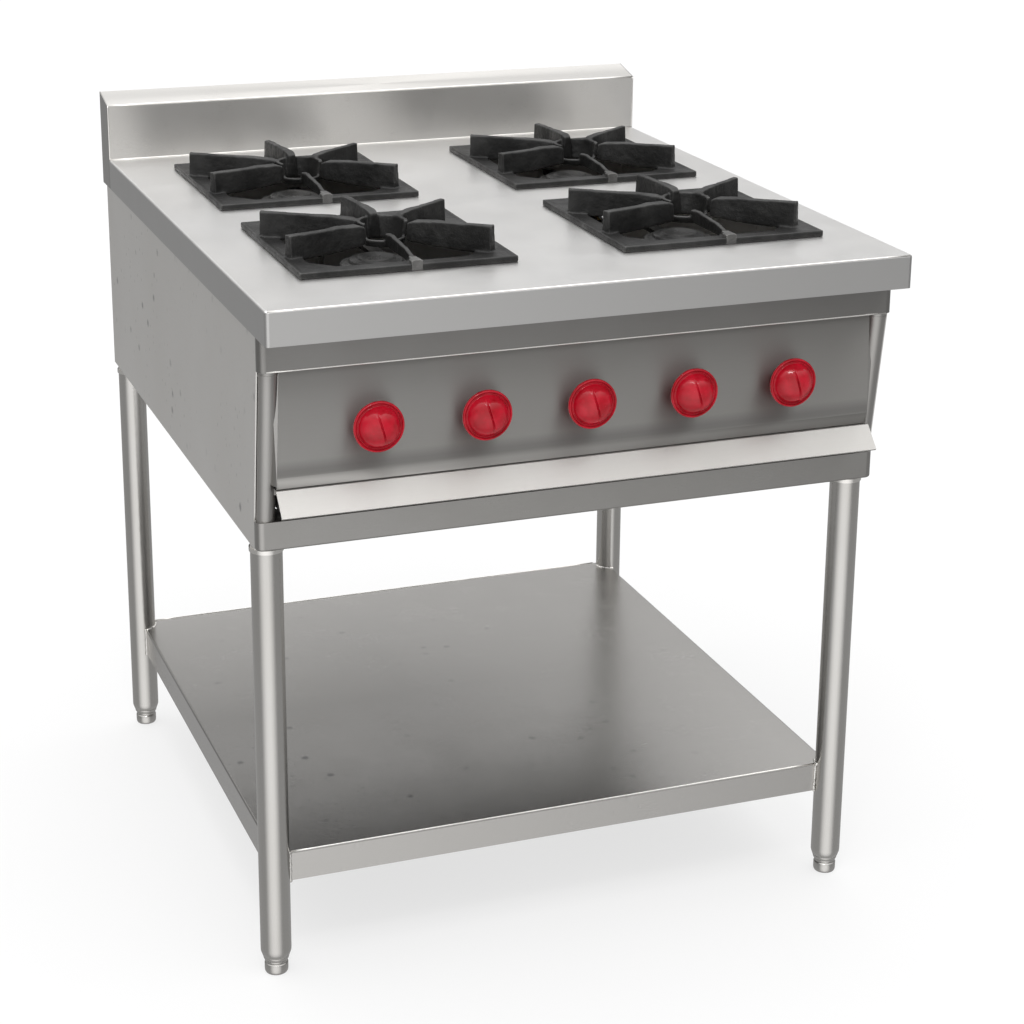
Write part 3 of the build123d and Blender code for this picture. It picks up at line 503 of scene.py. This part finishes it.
def knob_height(x, z):
    """How far the knob's front stands out.

    A rim bead, a groove, a shoulder, and a dome of two lobes that meet at a crease."""
    radius = math.hypot(x, z)
    bead = BEAD_HEIGHT * math.sqrt(max(0.0, 1 - ((radius - BEAD_RADIUS) / BEAD_HALF) ** 2))
    shoulder = SHOULDER_HEIGHT * math.exp(-(((radius - SHOULDER_RADIUS) / SHOULDER_HALF) ** 2))
    dome = DOME_HEIGHT * max(0.0, 1 - (radius / DOME_RADIUS) ** 2.2) ** 0.6
    inside = smoothstep(0, 6 * MM, dome)
    across = x + CREASE_LEAN * z + CREASE_BEND * math.sin(2.2 * z / DOME_RADIUS)
    reach = max(0.0, 1 - (abs(z) / (0.9 * DOME_RADIUS)) ** 6)
    crease = CREASE_DEPTH * math.exp(-((across / CREASE_HALF) ** 2)) * reach
    swell = LOBE_SWELL * math.exp(-abs(across) / LOBE_SPREAD) * reach
    step = STEP_HEIGHT * smoothstep(-STEP_HALF, STEP_HALF, across) * reach
    height = DISH_HEIGHT + bead + shoulder * (1 - inside) + dome + (swell + step - crease) * inside
    return min(KNOB_REACH, height)


def knob_mesh(centre):
    """The knob as a fine polar grid in front of a mushroom-shaped back."""
    turns = [2 * math.pi * step / KNOB_STEPS for step in range(KNOB_STEPS)]
    rows = [[(0, knob_height(0, 0), 0)]]
    for ring in range(1, KNOB_RINGS + 1):
        radius = (KNOB_RADIUS - 0.2 * MM) * (ring / KNOB_RINGS) ** 0.9
        spots_round = [(radius * math.cos(angle), radius * math.sin(angle)) for angle in turns]
        rows.append([(x, knob_height(x, z), z) for x, z in spots_round])
    for change, height in KNOB_BACK:
        radius = KNOB_RADIUS + change * MM
        rows.append([(radius * math.cos(angle), height * MM, radius * math.sin(angle)) for angle in turns])
    rows.append([(0, 0, 0)])
    work = bmesh.new()
    made = [[work.verts.new((x, -height, z)) for x, height, z in row] for row in rows]
    join_rings(work, made)
    bmesh.ops.transform(work, matrix=Matrix.Translation(centre), verts=work.verts)
    return finished_mesh(work, "knob")


for number in KNOB_NUMBERS:
    node = f"knob_{number}"
    low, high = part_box(node)
    knob_centre = Vector(((low.x + high.x) / 2, high.y, (low.z + high.z) / 2))
    new_piece(f"{node}_moulding", knob_mesh(knob_centre), RED, f"control_{number}", node)


# ---------------------------------------------------------------- grates
def wedge(work, corners_low, corners_high):
    """A six-sided block between two quads of points."""
    low = [work.verts.new(p) for p in corners_low]
    high = [work.verts.new(p) for p in corners_high]
    work.faces.new(low[::-1])
    work.faces.new(high)
    for index in range(4):
        following = (index + 1) % 4
        work.faces.new((low[index], low[following], high[following], high[index]))


def block(work, low, high):
    """A plain block between two corners."""
    x, y, z = zip(low, high)
    quad = [(x[0], y[0]), (x[1], y[0]), (x[1], y[1]), (x[0], y[1])]
    wedge(work, [(*p, z[0]) for p in quad], [(*p, z[1]) for p in quad])


GRATE_LOW, GRATE_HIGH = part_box("grate_front_left")
GRATE_WIDTH, GRATE_LENGTH, GRATE_HEIGHT = GRATE_HIGH - GRATE_LOW
PLATE = 6 * MM
FRAME_BAR = 25 * MM
FRAME_RIM = 2.2 * MM
FRAME_RIM_RISE = 1.6 * MM
CORNER_CUT = 34 * MM
HUB = Vector((8 * MM, 0, 0))
HUB_INNER = 24 * MM
HUB_OUTER = 28.5 * MM
HUB_TOP = GRATE_HEIGHT - 9 * MM
HUB_FRONT_TOP = 11 * MM
HUB_SECTIONS = 40
# Each fin in millimetres: where its inner and its outer end are about the grate's middle, then a pair
# for the two ends of half its thickness, its underside, and its drop below the grate's highest point.
FINS = (
    ((-17, 12), (-128, 60), (10.5, 7), (9, 2.4), (7, 0.8)),
    ((-24, -24), (-126, -58), (11.5, 7.5), (9, 2.4), (6, 5)),
    ((36, -20), (114, -101), (12, 7), (9, 2.4), (6, 0.8)),
    ((4, 20), (-4, 120), (9, 6.5), (3, 2.4), (1.5, 2.5)),
    ((30, 13), (104, 53), (8.5, 5.5), (5, 2.4), (5, 0.2)),
)
# Along a fin: the share of its length, the swelling of its thickness, and the rise of its top in millimetres.
FIN_SECTIONS = ((0, 0.75, -3.5), (0.07, 1.0, -0.6), (0.32, 0.95, 0.8), (0.5, 0.7, 0.2), (1, 1.0, 0.0))


def fin(work, start, end, halves, bases, drops):
    """One slab fin, its outer end blunt and its inner end a fat rounded shoulder."""
    start, end = Vector((*start, 0)) * MM, Vector((*end, 0)) * MM
    outward = (end - start).normalized()
    across = Vector((-outward.y, outward.x, 0))
    quads = []
    for share, swell, rise in FIN_SECTIONS:
        half = (halves[0] + (halves[1] - halves[0]) * share) * swell * MM
        low = (bases[0] + (bases[1] - bases[0]) * min(1, share * 1.6)) * MM
        high = GRATE_HEIGHT - (drops[0] + (drops[1] - drops[0]) * share - rise) * MM
        at = start + (end - start) * share
        foot, crown = across * half, across * half * 0.7
        up_low, up_high = Vector((0, 0, low)), Vector((0, 0, high))
        quads.append(
            [at - foot + up_low, at + foot + up_low, at + crown + up_high, at - crown + up_high]
        )
    for first, second in zip(quads, quads[1:]):
        wedge(work, first, second)


def hub_wall(work, first, last, low, high, flare):
    """Part of the round hub's wall between two angles in degrees, a little wider at the top."""
    rows = []
    for step in range(HUB_SECTIONS + 1):
        angle = math.radians(first + (last - first) * step / HUB_SECTIONS)
        outward = Vector((math.cos(angle), math.sin(angle), 0))
        rim = Vector((0, 0, high))
        foot = Vector((0, 0, low))
        rows.append(
            [
                HUB + outward * HUB_INNER * 0.94 + foot,
                HUB + outward * HUB_OUTER * 0.94 + foot,
                HUB + outward * HUB_OUTER * flare + rim,
                HUB + outward * HUB_INNER * flare + rim,
            ]
        )
    for first_row, second_row in zip(rows, rows[1:]):
        wedge(work, first_row, second_row)


def grate_mesh():
    """One cast grate about its own centre: frame, corner plates, fins, hub and front web."""
    half_x, half_y = GRATE_WIDTH / 2, GRATE_LENGTH / 2
    work = bmesh.new()
    inner_x, inner_y = half_x - FRAME_BAR, half_y - FRAME_BAR
    for side in (-1, 1):
        x = sorted((side * half_x, side * inner_x))
        block(work, (x[0], -half_y, 0), (x[1], half_y, PLATE))
        y = sorted((side * half_y, side * inner_y))
        block(work, (-half_x, y[0], 0), (half_x, y[1], PLATE))
        rim, rim_top = side * (half_x - FRAME_RIM), PLATE + FRAME_RIM_RISE
        block(work, (rim - FRAME_RIM, -half_y, 0), (rim + FRAME_RIM, half_y, rim_top))
        rim = side * (half_y - FRAME_RIM)
        block(work, (-half_x, rim - FRAME_RIM, 0), (half_x, rim + FRAME_RIM, rim_top))
        for end in (-1, 1):
            tip = (
                (inner_x + 2 * MM, inner_y + 2 * MM),
                (inner_x - CORNER_CUT, inner_y + 2 * MM),
                (inner_x - CORNER_CUT, inner_y),
                (inner_x, inner_y - CORNER_CUT),
            )
            plan = [(side * px, end * py) for px, py in tip]
            wedge(work, [(*p, 0.6 * MM) for p in plan], [(*p, PLATE - 0.8 * MM) for p in plan])
    for start, end, halves, bases, drops in FINS:
        fin(work, start, end, halves, bases, drops)
    hub_wall(work, -25, 205, 2 * MM, HUB_TOP, 1.1)
    hub_wall(work, 200, 340, 1.5 * MM, HUB_FRONT_TOP, 1.0)
    web = (
        (HUB_INNER, 4, 3, HUB_FRONT_TOP + 8 * MM),
        (HUB_OUTER + 14 * MM, 3.2, 3, 20 * MM),
        (half_y - 40 * MM, 3, 3, 17 * MM),
        (half_y - 16 * MM, 3, 2.4, 12.5 * MM),
        (half_y - 1 * MM, 3, 2.4, 9 * MM),
    )
    quads = []
    for reach, half, low, high in web:
        quads.append(
            [
                (HUB.x + half * MM, -reach, low * MM),
                (HUB.x - half * MM, -reach, low * MM),
                (HUB.x - half * MM, -reach, high),
                (HUB.x + half * MM, -reach, high),
            ]
        )
    for first, second in zip(quads, quads[1:]):
        wedge(work, first, second)
    bmesh.ops.recalc_face_normals(work, faces=work.faces)
    return fused(finished_mesh(work, "grate_rough"), voxel=1.4 * MM, smoothing=5, keep=0.25)


def tab_mesh():
    """The ground tab that wraps over the middle of the frame's front edge."""
    half_y = GRATE_LENGTH / 2
    work = bmesh.new()
    block(work, (HUB.x - 7 * MM, -half_y, 0), (HUB.x + 7 * MM, -half_y + 12 * MM, PLATE + 5.5 * MM))
    block(work, (HUB.x - 4.5 * MM, -half_y, 2 * MM), (HUB.x + 4.5 * MM, -half_y + 20 * MM, PLATE + 6.5 * MM))
    return fused(finished_mesh(work, "tab_rough"), voxel=0.8 * MM, smoothing=3, keep=0.3)


def fused(mesh, voxel, smoothing, keep):
    """Fuses overlapping blocks into one skin, softens its edges and thins the mesh out."""
    rough = bpy.data.objects.new("rough", mesh)
    bpy.context.scene.collection.objects.link(rough)
    remesh = rough.modifiers.new("skin", "REMESH")
    remesh.mode = "VOXEL"
    remesh.voxel_size = voxel
    remesh.adaptivity = 0.0
    soften = rough.modifiers.new("soften", "SMOOTH")
    soften.factor = 0.5
    soften.iterations = smoothing
    thin = rough.modifiers.new("thin", "DECIMATE")
    thin.ratio = keep
    graph = bpy.context.evaluated_depsgraph_get()
    made = bpy.data.meshes.new_from_object(rough.evaluated_get(graph))
    bpy.data.objects.remove(rough)
    return made


GRATE = grate_mesh()
TAB = tab_mesh()
for place in PLACES:
    node = f"grate_{place}"
    low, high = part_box(node)
    centre = Vector(((low.x + high.x) / 2, (low.y + high.y) / 2, low.z))
    casting = GRATE.copy()
    fit = 1 - 0.4 * MM / GRATE_LENGTH
    casting.transform(Matrix.Translation(centre) @ Matrix.Scale(fit, 4))
    new_piece(f"{node}_casting", casting, IRON_GRATE, node, node)
    tab = TAB.copy()
    tab.transform(Matrix.Translation(centre))
    new_piece(f"{node}_tab", tab, IRON_WORN, node)


# ---------------------------------------------------------------- burner caps
def cap_profile(low, high):
    """The stepped cap's outline in a CAD node's box, as (radius, height) with rounded steps."""
    edge, foot, top = (high.x - low.x) / 2, low.z, high.z
    skirt = edge - 4 * MM
    return [
        (0, foot + 8 * MM),
        (skirt - 5 * MM, foot + 8 * MM),
        (skirt - 5 * MM, foot),
        (skirt - 0.6 * MM, foot),
        (skirt, foot + 1 * MM),
        (skirt, foot + 8.3 * MM),
        (edge - 0.6 * MM, foot + 8.3 * MM),
        (edge, foot + 9 * MM),
        (edge, foot + 12 * MM),
        (edge - 1.5 * MM, foot + 13.6 * MM),
        (edge - 5 * MM, foot + 14.4 * MM),
        (edge - 10.5 * MM, foot + 14.8 * MM),
        (edge - 11.6 * MM, foot + 15.6 * MM),
        (edge - 12 * MM, foot + 18 * MM),
        (edge - 13.4 * MM, foot + 19.2 * MM),
        (edge - 20.5 * MM, foot + 19.7 * MM),
        (edge - 21.6 * MM, foot + 20.4 * MM),
        (edge - 22.2 * MM, foot + 21.6 * MM),
        (edge - 24 * MM, top - 0.8 * MM),
        (edge - 32 * MM, top - 0.3 * MM),
        (0, top),
    ]


PORT_DEPTH = 1.6 * MM
PORT_BAND = 0.9 * MM


def flame_ports(edge):
    """A ripple that draws every second pair of points of a cap's edge inwards.

    That leaves a port between two teeth."""
    return lambda radius, step: -PORT_DEPTH if step % 4 < 2 and radius > edge - PORT_BAND else 0


for place in PLACES:
    node = f"burner_cap_{place}"
    low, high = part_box(node)
    axis_foot = Vector(((low.x + high.x) / 2, (low.y + high.y) / 2, 0))
    ports = flame_ports((high.x - low.x) / 2)
    mesh = lathe(cap_profile(low, high), axis_foot, steps=120, ripple=ports)
    new_piece(f"{node}_casting", mesh, IRON_BURNER, node, node)


# ---------------------------------------------------------------- rims, hems and seams of the sheet steel, in bright steel that paints highlight lines
RIM_SIDES, RIM_STATIONS = 10, 24


def rim_strip(name, start, end, radius):
    """A fine rounded strip along a sheet's edge, closed at both ends, in bright steel as a painted highlight
    line.
    """
    start, end = Vector(start), Vector(end)
    heading = (end - start).normalized()
    side = heading.orthogonal().normalized()
    up = heading.cross(side)
    work = bmesh.new()
    rings = [[work.verts.new(start)]]
    for station in range(RIM_STATIONS + 1):
        at = start.lerp(end, station / RIM_STATIONS)
        ring = []
        for step in range(RIM_SIDES):
            angle = 2 * math.pi * step / RIM_SIDES
            outward = side * math.cos(angle) + up * math.sin(angle)
            ring.append(work.verts.new(at + outward * radius))
        rings.append(ring)
    rings.append([work.verts.new(end)])
    join_rings(work, rings)
    new_piece(name, finished_mesh(work, name), STEEL_RIM_HIGHLIGHT, "cabinet")


SPLASH_POINTS = [v.co for v in frame["nodes"]["backsplash"].data.vertices]
SPLASH_TOP = max(p.z for p in SPLASH_POINTS if p.y < SPLASH_LOW.y + 1 * MM)
SPLASH_BEAD = 1.2 * MM
SPLASH_EDGE = SPLASH_LOW.y + 0.5 * MM
SEAM_Z = TOP_Z + 0.3 * MM
rim_strip(
    "backsplash_rim_top",
    (SPLASH_LOW.x + 1 * MM, SPLASH_EDGE, SPLASH_TOP),
    (SPLASH_HIGH.x - 1 * MM, SPLASH_EDGE, SPLASH_TOP),
    SPLASH_BEAD,
)
rim_strip(
    "backsplash_seam",
    (SPLASH_LOW.x + 2 * MM, SPLASH_EDGE, SEAM_Z),
    (SPLASH_HIGH.x - 2 * MM, SPLASH_EDGE, SEAM_Z),
    SPLASH_BEAD,
)
for side, edge in (("left", SPLASH_LOW.x + 1.3 * MM), ("right", SPLASH_HIGH.x - 1.3 * MM)):
    foot, top = (edge, SPLASH_EDGE, TOP_Z), (edge, SPLASH_EDGE, SPLASH_TOP)
    rim_strip(f"backsplash_rim_{side}", foot, top, SPLASH_BEAD)

APRON_LOW, APRON_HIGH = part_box("upper_front_rail")
RAIL_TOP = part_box("lower_front_rail")[1].z
HEM_INSET = 9 * MM
HEM_Y, HEM_Z = APRON_LOW.y + 0.6 * MM, APRON_LOW.z + 0.4 * MM
rim_strip(
    "apron_hem",
    (APRON_LOW.x + HEM_INSET, HEM_Y, HEM_Z),
    (APRON_HIGH.x - HEM_INSET, HEM_Y, HEM_Z),
    1.1 * MM,
)

SHELF_EDGE_Z = SHELF_HIGH.z - 0.2 * MM
LEG_CLEAR = 3 * MM
LEG_INNER_X = -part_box("leg_front_left")[1].x - LEG_CLEAR
for name, edge_y in (("front", SHELF_LOW.y + 0.7 * MM), ("rear", SHELF_HIGH.y - 0.7 * MM)):
    left, right = (-LEG_INNER_X, edge_y, SHELF_EDGE_Z), (LEG_INNER_X, edge_y, SHELF_EDGE_Z)
    rim_strip(f"shelf_rim_{name}", left, right, 1.1 * MM)

WORKTOP_RIM_Y, WORKTOP_RIM_Z = WORKTOP_LOW.y + 1.4 * MM, TOP_Z - 1 * MM
rim_strip(
    "worktop_rim_front",
    (WORKTOP_LOW.x + 3 * MM, WORKTOP_RIM_Y, WORKTOP_RIM_Z),
    (WORKTOP_HIGH.x - 3 * MM, WORKTOP_RIM_Y, WORKTOP_RIM_Z),
    1.25 * MM,
)


def edge_points(node, side, height, reach=6 * MM):
    """A CAD node's vertices on one side (-1 or 1) that lie within reach of a height."""
    points = [v.co for v in frame["nodes"][node].data.vertices]
    return [p for p in points if p.x * side > 0 and abs(p.z - height) < reach]


CHEEK_THICK = 1.2 * MM
POST_RADIUS = 11.6 * MM


def post_axis(side, height):
    """Where the leaning corner tube's axis is at a height."""
    ends = []
    for at in (APRON_LOW.z, RAIL_TOP):
        points = edge_points("corner_tubes", side, at)
        ends.append(sum(points, Vector()) / len(points))
    top, foot = ends
    return foot.lerp(top, (height - foot.z) / (top.z - foot.z))


for name, side in (("left", -1), ("right", 1)):
    work = bmesh.new()
    quads = []
    for height in (PANEL_LOW.z + 3 * MM, PANEL_HIGH.z - 3 * MM):
        edge_x = max(abs(p.x) for p in edge_points("control_panel", side, height)) * side
        post = post_axis(side, height)
        end_x = post.x - side * POST_RADIUS * 0.3
        end_y = max(post.y - POST_RADIUS * 0.9, PANEL_FRONT + 2 * MM)
        inward = side * CHEEK_THICK
        front_y = PANEL_FRONT + 1 * MM
        plan = ((edge_x, front_y), (end_x, end_y), (end_x - inward, end_y), (edge_x - inward, front_y))
        quads.append([(x, y, height) for x, y in plan])
    wedge(work, *quads)
    bmesh.ops.recalc_face_normals(work, faces=work.faces)
    cheek = finished_mesh(work, "cheek")
    new_piece(f"panel_cheek_{name}", cheek, STEEL_POST, "cabinet", smooth=False)


# ---------------------------------------------------------------- legs and feet
LEG_WALL = 1.5 * MM
LEG_TAPER = 2.6 * MM
LEG_TAPER_HEIGHT = 6 * MM
EASE = 0.7 * MM


def leg_profile(radius, foot, top):
    """A round tube's wall, drawn in a little at its foot."""
    bore = radius - LEG_WALL
    return [
        (bore, foot + LEG_TAPER_HEIGHT + EASE),
        (bore, top - EASE),
        (bore, top),
        (radius, top),
        (radius, top - EASE),
        (radius, foot + LEG_TAPER_HEIGHT + 4 * MM),
        (radius - 0.2 * MM, foot + LEG_TAPER_HEIGHT),
        (radius - LEG_TAPER + EASE, foot + EASE),
        (radius - LEG_TAPER, foot),
        (radius - LEG_TAPER - LEG_WALL, foot),
        (radius - LEG_TAPER - LEG_WALL, foot + EASE),
    ]


def foot_profile(radius, foot, top):
    """A levelling foot: rounded pad, a shallow groove under its nut, and the screw above."""
    screw = 6 * MM
    turns = [
        (0, foot),
        (radius - 3.5 * MM, foot),
        (radius - 1.2 * MM, foot + 0.7 * MM),
        (radius - 0.3 * MM, foot + 2.4 * MM),
        (radius, foot + 4.5 * MM),
        (radius, foot + 12.6 * MM),
        (radius - 0.4 * MM, foot + 13.6 * MM),
        (radius - 1.4 * MM, foot + 14.2 * MM),
        (radius - 1.4 * MM, foot + 15.2 * MM),
        (radius - 0.6 * MM, foot + 15.8 * MM),
        (radius - 0.6 * MM, foot + 18 * MM),
        (radius - 1.2 * MM, foot + 18.6 * MM),
        (screw, foot + 18.6 * MM),
    ]
    height = foot + 19.6 * MM
    while height < top - 2 * MM:
        turns += [(screw, height), (screw - 0.8 * MM, height + 0.9 * MM)]
        height += 1.8 * MM
    return turns + [(screw - 0.8 * MM, top), (0, top)]


def plug_profile(radius, foot, top):
    """The plug that closes a leg's foot: a hub inside the tube and a tapered flange under it."""
    hole, hub = 7 * MM, radius - LEG_TAPER - LEG_WALL - 0.1 * MM
    flange, flange_top = radius - LEG_TAPER, foot + 4.9 * MM
    return [
        (hole, foot),
        (hole, top),
        (hub, top),
        (hub, flange_top + EASE),
        (hub, flange_top),
        (flange, flange_top),
        (flange, flange_top - EASE),
        (flange - 0.8 * MM, foot + EASE),
        (flange - 1.4 * MM, foot),
    ]


PLUG_LOW, PLUG_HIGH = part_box("leg_end_plugs")
plugs = bmesh.new()
for place in PLACES:
    for kind, profile in (("leg", leg_profile), ("foot", foot_profile)):
        node = f"{kind}_{place}"
        low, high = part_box(node)
        axis_foot = Vector(((low.x + high.x) / 2, (low.y + high.y) / 2, 0))
        radius = (high.x - low.x) / 2
        turned = lathe(profile(radius, low.z, high.z), axis_foot, ring=kind == "leg")
        body = body_of(frame["nodes"][node])[0]
        new_piece(f"{node}_turned", turned, STEEL_TUBE, body, node)
        if kind == "leg":
            plug = plug_profile(radius, PLUG_LOW.z, PLUG_HIGH.z)
            plugs.from_mesh(lathe(plug, axis_foot, ring=True))
PLUGS = finished_mesh(plugs, "plugs")
new_piece("leg_end_plugs_turned", PLUGS, STEEL_TUBE, "cabinet", "leg_end_plugs")


# ---------------------------------------------------------------- weld beads round the legs
WELD_RADIUS = 2.1 * MM
BEAD_STRAY = 0.18
LIP_BEADS, CORNER_BEADS = 13, 16


def bead_string(points, radius, seed):
    """Overlapping weld ripples along a run of points, fused into one skin."""
    draw = random.Random(seed)
    work = bmesh.new()
    for point in points:
        size = radius * draw.uniform(0.85, 1.2)
        made = bmesh.ops.create_icosphere(work, subdivisions=2, radius=size)
        stray = Vector((draw.uniform(-1, 1), draw.uniform(-1, 1), draw.uniform(-1, 1)))
        at = Vector(point) + stray * radius * BEAD_STRAY
        bmesh.ops.translate(work, verts=made["verts"], vec=at)
    return fused(finished_mesh(work, "bead"), voxel=0.7 * MM, smoothing=1, keep=0.6)


for seed, place in enumerate(PLACES):
    leg_low, leg_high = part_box(f"leg_{place}")
    leg = (leg_low + leg_high) / 2
    leg_radius = (leg_high.x - leg_low.x) / 2
    inward_x = -math.copysign(1, leg.x)
    inward_y = -math.copysign(1, leg.y)
    lip_y = SHELF_LOW.y if leg.y < 0 else SHELF_HIGH.y
    lip_x = SHELF_LOW.x if leg.x < 0 else SHELF_HIGH.x
    drop = SHELF_HIGH.z - SHELF_LOW.z
    heights = [SHELF_LOW.z + drop * step / LIP_BEADS for step in range(LIP_BEADS)]
    front_x, front_y = leg.x + inward_x * (leg_radius + 1.6 * MM), lip_y - inward_y * 0.4 * MM
    run = [(front_x, front_y, height) for height in heights]
    reach = leg_radius + 0.8 * MM
    for step in range(CORNER_BEADS):
        angle = math.pi / 2 * step / (CORNER_BEADS - 1)
        corner_x = leg.x + inward_x * reach * math.cos(angle)
        corner_y = leg.y + inward_y * reach * math.sin(angle)
        run.append((corner_x, corner_y, SHELF_HIGH.z - 0.4 * MM))
    run += [(lip_x, leg.y + inward_y * (leg_radius + 0.6 * MM), height) for height in heights]
    weld = bead_string(run, WELD_RADIUS, seed)
    new_piece(f"shelf_weld_{place}", weld, STEEL_RING, "cabinet")


# ---------------------------------------------------------------- floor, light and camera
FLOOR_HALF = 14
FLOOR_GLOW = 0.7


def stage_floor():
    """A plain pale floor under the range.

    It glows a little so that its shadow stays light, and steel doesn't mirror it."""
    work = bmesh.new()
    bmesh.ops.create_grid(work, x_segments=1, y_segments=1, size=FLOOR_HALF)
    mesh = finished_mesh(work, "floor")
    floor = bpy.data.objects.new("floor", mesh)
    bpy.context.scene.collection.objects.link(floor)
    material, tree, shader = new_material("pale_floor")
    tone = noise(tree, 0.6, detail=2)
    tree.links.new(blend(tree, tone, (0.2, 0.2, 0.2), (0.21, 0.21, 0.21)), shader.inputs["Base Color"])
    shader.inputs["Roughness"].default_value = 0.9
    shader.inputs["Specular IOR Level"].default_value = 0
    shader.inputs["Emission Color"].default_value = (1, 1, 1, 1)
    shader.inputs["Emission Strength"].default_value = FLOOR_GLOW
    mesh.materials.append(material)
    floor.visible_glossy = False


def soft_box(name, place, target, size, power):
    """A soft area light that faces a target."""
    light = bpy.data.lights.new(name, "AREA")
    light.shape = "RECTANGLE"
    light.size, light.size_y = size
    light.energy = power
    lamp = bpy.data.objects.new(name, light)
    lamp.location = place
    lamp.rotation_euler = (Vector(target) - Vector(place)).to_track_quat("-Z", "Y").to_euler()
    bpy.context.scene.collection.objects.link(lamp)


SKY_STRENGTH = 3.0
# Brightness of the surroundings by height, from straight down at 0 to straight up at 1.
SKY = (
    (0.0, 0.5),
    (0.33, 0.42),
    (0.45, 0.36),
    (0.55, 0.3),
    (0.65, 0.45),
    (0.75, 1.0),
    (0.85, 1.5),
    (0.92, 2.3),
    (1.0, 2.8),
)
FILL_SIDE = (-0.34, -0.89, -0.3)
FILL_BRIGHTNESS = 0.95
KEY_PLACE, KEY_TARGET = (-0.75, -1.9, 2.9), (0, 0, 0.5)
KEY_SIZE, KEY_POWER = (0.55, 0.4), 14


def studio_world():
    """Studio surroundings: bright overhead, dim at the horizon, with a soft fill on the camera's side."""
    world = bpy.data.worlds.new("studio")
    world.use_nodes = True
    tree = world.node_tree
    coords = tree.nodes.new("ShaderNodeTexCoord")
    split = tree.nodes.new("ShaderNodeSeparateXYZ")
    tree.links.new(coords.outputs["Generated"], split.inputs["Vector"])
    ramp = tree.nodes.new("ShaderNodeValToRGB")
    stops = ramp.color_ramp.elements
    while len(stops) < len(SKY):
        stops.new(0.5)
    for stop, (height, level) in zip(stops, SKY):
        stop.position = height
        stop.color = (level / SKY_STRENGTH,) * 3 + (1,)
    tree.links.new(remap(tree, split.outputs["Z"], -1, 1, 0, 1), ramp.inputs["Fac"])
    facing = tree.nodes.new("ShaderNodeVectorMath")
    facing.operation = "DOT_PRODUCT"
    facing.inputs[1].default_value = FILL_SIDE
    tree.links.new(coords.outputs["Generated"], facing.inputs[0])
    fill = remap(tree, facing.outputs["Value"], 0.6, 0.97, 0, FILL_BRIGHTNESS / SKY_STRENGTH)
    total = tree.nodes.new("ShaderNodeVectorMath")
    total.operation = "ADD"
    tree.links.new(ramp.outputs["Color"], total.inputs[0])
    tree.links.new(fill, total.inputs[1])
    background = tree.nodes["Background"]
    tree.links.new(total.outputs["Vector"], background.inputs["Color"])
    background.inputs["Strength"].default_value = SKY_STRENGTH
    bpy.context.scene.world = world


stage_floor()
studio_world()
soft_box("key", KEY_PLACE, KEY_TARGET, KEY_SIZE, KEY_POWER)

CAMERA_PLACE = Vector((-1.015, -2.838, 1.545))
CAMERA_AZIMUTH = -20.7
CAMERA_ELEVATION = 17.5
CAMERA_ROLL = 0.5
CAMERA_LENS = 82.5
CAMERA_SHIFT_Y = -0.109

around, above = math.radians(CAMERA_AZIMUTH), math.radians(CAMERA_ELEVATION)
level_reach = math.cos(above)
back = Vector((math.sin(around) * level_reach, -math.cos(around) * level_reach, math.sin(above)))
roll = Matrix.Rotation(math.radians(CAMERA_ROLL), 3, "Z").to_quaternion()
camera_data = bpy.data.cameras.new("camera")
camera_data.lens = CAMERA_LENS
camera_data.shift_y = CAMERA_SHIFT_Y
camera = bpy.data.objects.new("camera", camera_data)
camera.rotation_mode = "QUATERNION"
camera.location = CAMERA_PLACE
camera.rotation_quaternion = (-back).to_track_quat("-Z", "Y") @ roll
bpy.context.scene.collection.objects.link(camera)
bpy.context.scene.camera = camera
bpy.context.scene.view_settings.view_transform = "Standard"
